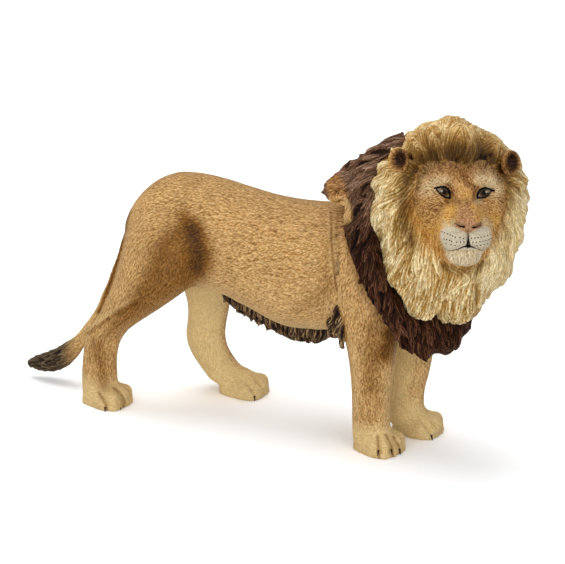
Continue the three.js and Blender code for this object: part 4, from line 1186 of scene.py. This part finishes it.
brown = patches(
    (464, 173, 0.8, 0.9), (465, 179, 0.7, 1.0), (469, 184, 0.7, 0.95), (473, 188, 0.6, 0.7),
    (440, 164, 2.2, 0.95), (454, 165, 2.6, 0.95), (468, 166, 2.6, 1.0), (482, 165, 2.2, 0.95),
    (428, 169, 2.0, 0.8), (494, 168, 1.6, 0.7), (449, 188, 0.8, 0.8), (453, 192, 0.9, 0.6),
    (474, 190, 0.7, 0.8), (447, 201, 0.8, 0.8), (441, 205, 0.9, 0.8), (437, 211, 0.8, 0.8),
    (430, 206, 1.2, 0.5), (459, 202, 0.9, 0.8), (467, 203, 0.9, 0.8), (424, 214, 1.4, 0.5),
    (413, 200, 1.6, 0.7), (474, 199, 0.7, 0.7), (490, 203, 1.0, 0.4), (427, 222, 1.2, 0.4),
    (501, 200, 1.0, 0.5),
)
furrows = [
    [(462, 169), (463.5, 177), (468, 182.5), (474, 187), (476, 191)],
    [(447, 184), (451.5, 189), (453, 195)],
    [(473.5, 196), (475, 191), (478, 187)],
]
brown = np.maximum(brown, brushed(page, 0.42, *furrows) * front)
pink = patches(
    (462, 213, 1.2, 0.8), (469, 213, 1.2, 0.8), (463, 220, 1.2, 0.9), (471, 220, 1.2, 0.9),
    (466, 207, 1.0, 0.5),
)
face_fur_depth, chin_fur_depth = 0.05, 0.14
depth = face_fur_depth * (1 - on_chin) + chin_fur_depth * on_chin
head_skin.push(depth * (strand - 0.5) * (1 - nose) * (1 - pads))
head_skin.refresh()
head_skin.note(
    strand=strand, white=pads * (1 - nose), chin=on_chin, nose=nose, ink=ink, cream=cream, ochre=ochre,
    brown=brown, pink=pink, hairline=0.9 * hairline,
)
head_skin.note_flow(face_flow)
# soft patches of matt paint that fade into each other, and black lines with sharp edges over them
head_paint = painted_pvc("painted_pvc_head", ["#6a4016", "#b28146", "#e2be88"], [
    ("ochre", ["#8f5a1c", "#cf983f", "#efcd86"]),
    ("cream", ["#957249", "#cdb588", "#efe2c0"]),
    ("brown", ["#3d210a", "#754a22", "#ab8350"]),
    ("pink", ["#6f4327", "#a0714c", "#c69a78"]),
    ("white", ["#a2957c", "#bfb299", "#ded5c0"]),
    ("chin", ["#745c40", "#c4ad86", "#ecdfc2"]),
    ("nose", ["#8c6247", "#a67c59", "#b68f6c"]),
    ("hairline", ["#2a1705", "#5c3f1d", "#b39058"]),
], hair=(0.22, 2.8, 0.2), turn=90 + head_yaw)
ink_tree = head_paint.node_tree
ink_shader = ink_tree.nodes["Principled BSDF"]
ink_away = node(ink_tree, "ShaderNodeAttribute", {"attribute_name": "ink"}).outputs["Fac"]
inked = node(ink_tree, "ShaderNodeMapRange", _0=ink_away, _1=0.05, _2=-0.05)
under = ink_shader.inputs["Base Color"].links[0].from_socket
black_brown = colour("#120a05")
over = node(ink_tree, "ShaderNodeMix", {"data_type": "RGBA"}, _0=inked.outputs[0], _6=under, _7=black_brown)
ink_tree.links.new(over.outputs[2], ink_shader.inputs["Base Color"])
finish_piece("painted_head", head_skin.as_bmesh(), ["head"], head_paint)

# Eyes: raised almond pads of the head's moulding, painted with a black rim, a dark brown iris and a black
# pupil, under a drop of clear gloss.
head_surface = head_skin.surface()
# each eye's edge, the middle of its pupil and its glint
eye_edges = {
    "right_eye": ([
        (435.5, 188.3), (440, 187.0), (444.5, 186.8), (448, 189.5), (449.8, 194.0), (450.2, 198.2),
        (446, 197.6), (441.5, 195.8), (438.3, 192.5),
    ], (444.4, 191.8), (441.6, 191.0)),
    "left_eye": ([
        (477.0, 197.6), (478.2, 193.2), (480.8, 189.6), (484.5, 188.0), (488.5, 188.6), (492.0, 190.4),
        (490.4, 193.2), (487.5, 196.6), (482.5, 198.2),
    ], (484.0, 192.8), (486.6, 191.6)),
}
# gloss varnish over paint: the eye is dark and wet, with one pale glint that is painted in
eye_gloss = bpy.data.materials.new("painted_eye_gloss")
eye_gloss.use_nodes = True
tree = eye_gloss.node_tree
shader = tree.nodes["Principled BSDF"]
from_pupil = node(tree, "ShaderNodeAttribute", {"attribute_name": "pupil"}).outputs["Fac"]
paint = node(tree, "ShaderNodeValToRGB", Fac=from_pupil)
stops = paint.color_ramp.elements
stops[0].position, stops[0].color = 0.40, colour("#090605")
stops[1].position, stops[1].color = 1.0, colour("#85725a")
stops.new(0.46).color = colour("#2b190b")
stops.new(0.70).color = colour("#4f341a")
stops.new(0.86).color = colour("#1e1209")
paint = paint.outputs["Color"]
for value, starts, full, tone in (("glint", 0.34, 0.10, "#b5ab98"), ("edge", -0.30, -0.16, "#0f0906")):
    away = node(tree, "ShaderNodeAttribute", {"attribute_name": value}).outputs["Fac"]
    amount = node(tree, "ShaderNodeMapRange", _0=away, _1=starts, _2=full)
    mix = node(tree, "ShaderNodeMix", {"data_type": "RGBA"}, _0=amount.outputs[0], _6=paint, _7=colour(tone))
    paint = mix.outputs[2]
tree.links.new(paint, shader.inputs["Base Color"])
shader.inputs["Roughness"].default_value = 0.22
shader.inputs["IOR"].default_value = 1.5
shader.inputs["Specular IOR Level"].default_value = 0.12
eye_proud, eye_bulge = 0.08, 0.42
ahead_of, across, rise = (head_turn @ Vector(axis) for axis in ((1, 0, 0), (0, 1, 0), (0, 0, 1)))
for name, (edge, pupil, glint) in eye_edges.items():
    rim = traced(head_surface, edge)
    middle = sum(rim, Vector()) / len(rim)
    flat = np.array([[(spot - middle).dot(axis) for axis in (across, rise, ahead_of)] for spot in rim])
    angles, reaches = np.arctan2(flat[:, 1], flat[:, 0]), np.hypot(flat[:, 0], flat[:, 1])
    order = np.argsort(angles)
    eye = bmesh.new()
    bmesh.ops.create_uvsphere(eye, u_segments=64, v_segments=40, radius=1)
    for vert in eye.verts:
        angle = math.atan2(vert.co.y, vert.co.x)
        out = math.hypot(vert.co.x, vert.co.y)
        reach = np.interp(angle, angles[order], reaches[order], period=2 * math.pi)
        depth = np.interp(angle, angles[order], flat[order, 2], period=2 * math.pi)
        vert.co = (
            middle + across * (math.cos(angle) * out * reach) + rise * (math.sin(angle) * out * reach)
            + ahead_of * (depth * out + eye_proud + eye_bulge * vert.co.z)
        )
    eye_skin = Skin(eye)
    eye_page = on_page(eye_skin.at)
    eye_skin.note(
        edge=beyond_outline(eye_page, edge),
        pupil=np.linalg.norm(eye_page - page_path(pupil), axis=1),
        glint=np.linalg.norm(eye_page - page_path(glint), axis=1),
    )
    finish_piece(name, eye_skin.as_bmesh(), [], eye_gloss)

# Whisker spots: rows of tiny dots of black paint on each side of the muzzle. Each is set down with a
# fine brush and dries slightly raised.
whisker_rows = [
    (442, 231.8), (444.5, 232.8), (447.5, 234), (450.2, 235), (452.5, 236), (455.2, 237.2),
    (460, 237.6), (463.5, 238.3),
    (444, 239), (446.5, 239.6), (449.5, 240.5), (451.7, 241.5), (456.5, 242.3), (460.5, 242), (464, 241.9),
    (446, 243.7), (451, 244.7), (455, 245.7), (459, 246.2),
    (471.7, 238.3), (475, 238), (478, 237.6), (481, 236.9), (484, 236.2), (487.5, 235.4), (490.2, 234.5),
    (473, 242.3), (476.3, 242.3), (480, 241.8), (483, 241.2), (486, 240.6), (488.8, 239.7), (490.8, 238.6),
    (477, 245.6), (480.5, 245.2), (484, 244.6), (487.5, 243.9),
]
dot_radius, dot_rise = 0.16, 0.45
dots = bmesh.new()
for pixel in whisker_rows:
    spot = seen(head_surface, *pixel)
    facing = head_surface.find_nearest(spot)[1]
    turn = facing.to_track_quat("Z", "Y").to_matrix()
    dot = bmesh.ops.create_icosphere(dots, subdivisions=1, radius=dot_radius)["verts"]
    for vert in dot:
        vert.co = spot + turn @ Vector((vert.co.x, vert.co.y, vert.co.z * dot_rise))
# enamel, one flat black-brown with a faint shine
dot_paint = painted_pvc("black_enamel_dots", ["#1d1610", "#1d1610", "#1d1610"], roughness=0.45)
finish_piece("whisker_spots", dots, [], dot_paint)

# Ears: rounded cups of PVC, each moulded apart and pegged in the ruff. They are painted tan behind, with a
# pale rim and dark brown inside.
# matt tan paint that darkens softly into the hollow
ear_paint = painted_pvc("painted_pvc_ear", ["#7d5427", "#b98b4f", "#dcb77e"], [
    ("brown", ["#4a2a0e", "#7c5126", "#a97c48"]),
    ("dark", ["#0f0602", "#2a150a", "#573418"]),
])
# each ear's hollow on the photograph, its half width and half height in millimetres, and how brown the rim
# is. The right ear sits a little lower than its solid.
ear_hollows = {"right_ear": ((400.5, 159), 1.35, 1.95, 0.0), "left_ear": ((512.5, 162), 1.3, 2.3, 0.7)}
ear_drop = [((399, 158), (399, 161))]
ear_fur_depth = 0.12
for node_name, (hollow, wide, tall, brown_share) in ear_hollows.items():
    ear = Skin(melted(copy_of(node_name, grow=0.05), voxel=0.3))
    ear.relax(6)
    if node_name == "right_ear":
        ear.nudge(ear_drop, reach=9)
    ear = ear.finer()
    outwards = in_head(ear.at) - in_head(ear.at).mean(axis=0)
    outwards[:, 0] = 0.3
    way = outwards @ head_axes.T
    way = unit(way - ear.normal * (way * ear.normal).sum(axis=1)[:, None])
    hair = comb(ear, way, spacing=0.5, length=1.3, half_width=0.2, turn=14, seed=71)
    ear.push(ear_fur_depth * (hair - 0.4))
    ear.refresh()
    facing = in_head(ear.normal + np.array(head_middle))[:, 0]
    inside = np.linalg.norm((on_page(ear.at) - page_path(hollow)) / (wide, tall), axis=1)
    ear.note(
        strand=hair,
        dark=ramp(inside, 1.3, 0.55) * ramp(facing, -0.2, 0.2),
        brown=np.maximum(brown_share, 0.8 * ramp(inside, 1.7, 1.1)),
    )
    ear.note_flow(way)
    finish_piece("painted_" + node_name, ear.as_bmesh(), [node_name], ear_paint)

# Claws: short claws between the toes, low at the front of each paw. They are part of the paws' moulding and
# are picked out in dark brown paint.
claw_length, claw_root, claw_tip, above_ground = 1.25, 0.22, 0.07, 0.02
claws = bmesh.new()
for *_, pixels in paws.values():
    for root in traced(body_surface, pixels):
        spot, facing = body_surface.find_nearest(root)[:2]
        axis = (Vector((0, 0, -1)) + facing * 0.25).normalized()
        turn = axis.to_track_quat("Z", "Y").to_matrix()
        claw = bmesh.ops.create_cone(
            claws, cap_ends=True, segments=8, radius1=claw_root, radius2=claw_tip, depth=claw_length
        )["verts"]
        for vert in claw:
            vert.co = spot + turn @ vert.co + facing * 0.04
            vert.co.z = max(vert.co.z, above_ground)
# dark brown paint, a little smoother than the coat's
claw_paint = painted_pvc("dark_claw_paint", ["#2a1c10", "#35261a", "#4a3626"], roughness=0.4)
finish_piece("claws", claws, [], claw_paint)

# Stage: a white studio floor under a white sky, with three round soft lamps. The key lamp hangs nearly
# overhead, a weak one stands to the camera's right, and one stands low to its left.
floor_size = 4
bm = bmesh.new()
bmesh.ops.create_grid(bm, x_segments=1, y_segments=1, size=floor_size)
floor_mesh = bpy.data.meshes.new("floor")
bm.to_mesh(floor_mesh)
bm.free()
floor = placed("floor", floor_mesh)
# matt paper: it shows clean white with soft shadows and no shine, and throws less light on the figure
floor_paint = bpy.data.materials.new("white_paper")
floor_paint.use_nodes = True
paper = floor_paint.node_tree
paper.nodes.remove(paper.nodes["Principled BSDF"])
eye_ray = node(paper, "ShaderNodeLightPath").outputs["Is Camera Ray"]
bounced = 0.75
shown = []
for level in (1.34, 1.36, 1.39):
    shown.append(node(paper, "ShaderNodeMapRange", _0=eye_ray, _3=bounced, _4=level).outputs[0])
white = node(paper, "ShaderNodeCombineColor", _0=shown[0], _1=shown[1], _2=shown[2])
matt = node(paper, "ShaderNodeBsdfDiffuse", Color=white.outputs[0])
paper.links.new(matt.outputs[0], paper.nodes["Material Output"].inputs["Surface"])
floor_mesh.materials.append(floor_paint)

# an even sky that shows full white and lights the figure with a little over half of that
world = bpy.data.worlds.new("studio")
world.use_nodes = True
bpy.context.scene.world = world
sky = world.node_tree
paths = node(sky, "ShaderNodeLightPath")
level = node(sky, "ShaderNodeMapRange", _0=paths.outputs["Is Camera Ray"], _3=0.58, _4=1.0)
sky.links.new(level.outputs[0], sky.nodes["Background"].inputs["Strength"])
sky.nodes["Background"].inputs["Color"].default_value = (1, 1, 1, 1)
lamp_aim = Vector((0, 0, 0.035))


def lamp(name, spot, size, power):
    light = bpy.data.lights.new(name, "AREA")
    light.shape = "DISK"
    light.size = size
    light.energy = power
    holder = placed(name, light)
    holder.location = spot
    holder.rotation_euler = (Vector(spot) - lamp_aim).to_track_quat("Z", "Y").to_euler()


lamp("key_lamp", spot=(-0.25, 0.10, 1.10), size=0.9, power=4.8)
lamp("fill_lamp", spot=(0.75, -0.65, 0.45), size=0.6, power=1.5)
lamp("front_lamp", spot=(0.12, -0.88, 0.16), size=0.7, power=3.0)

bpy.context.scene.view_settings.view_transform = "Standard"
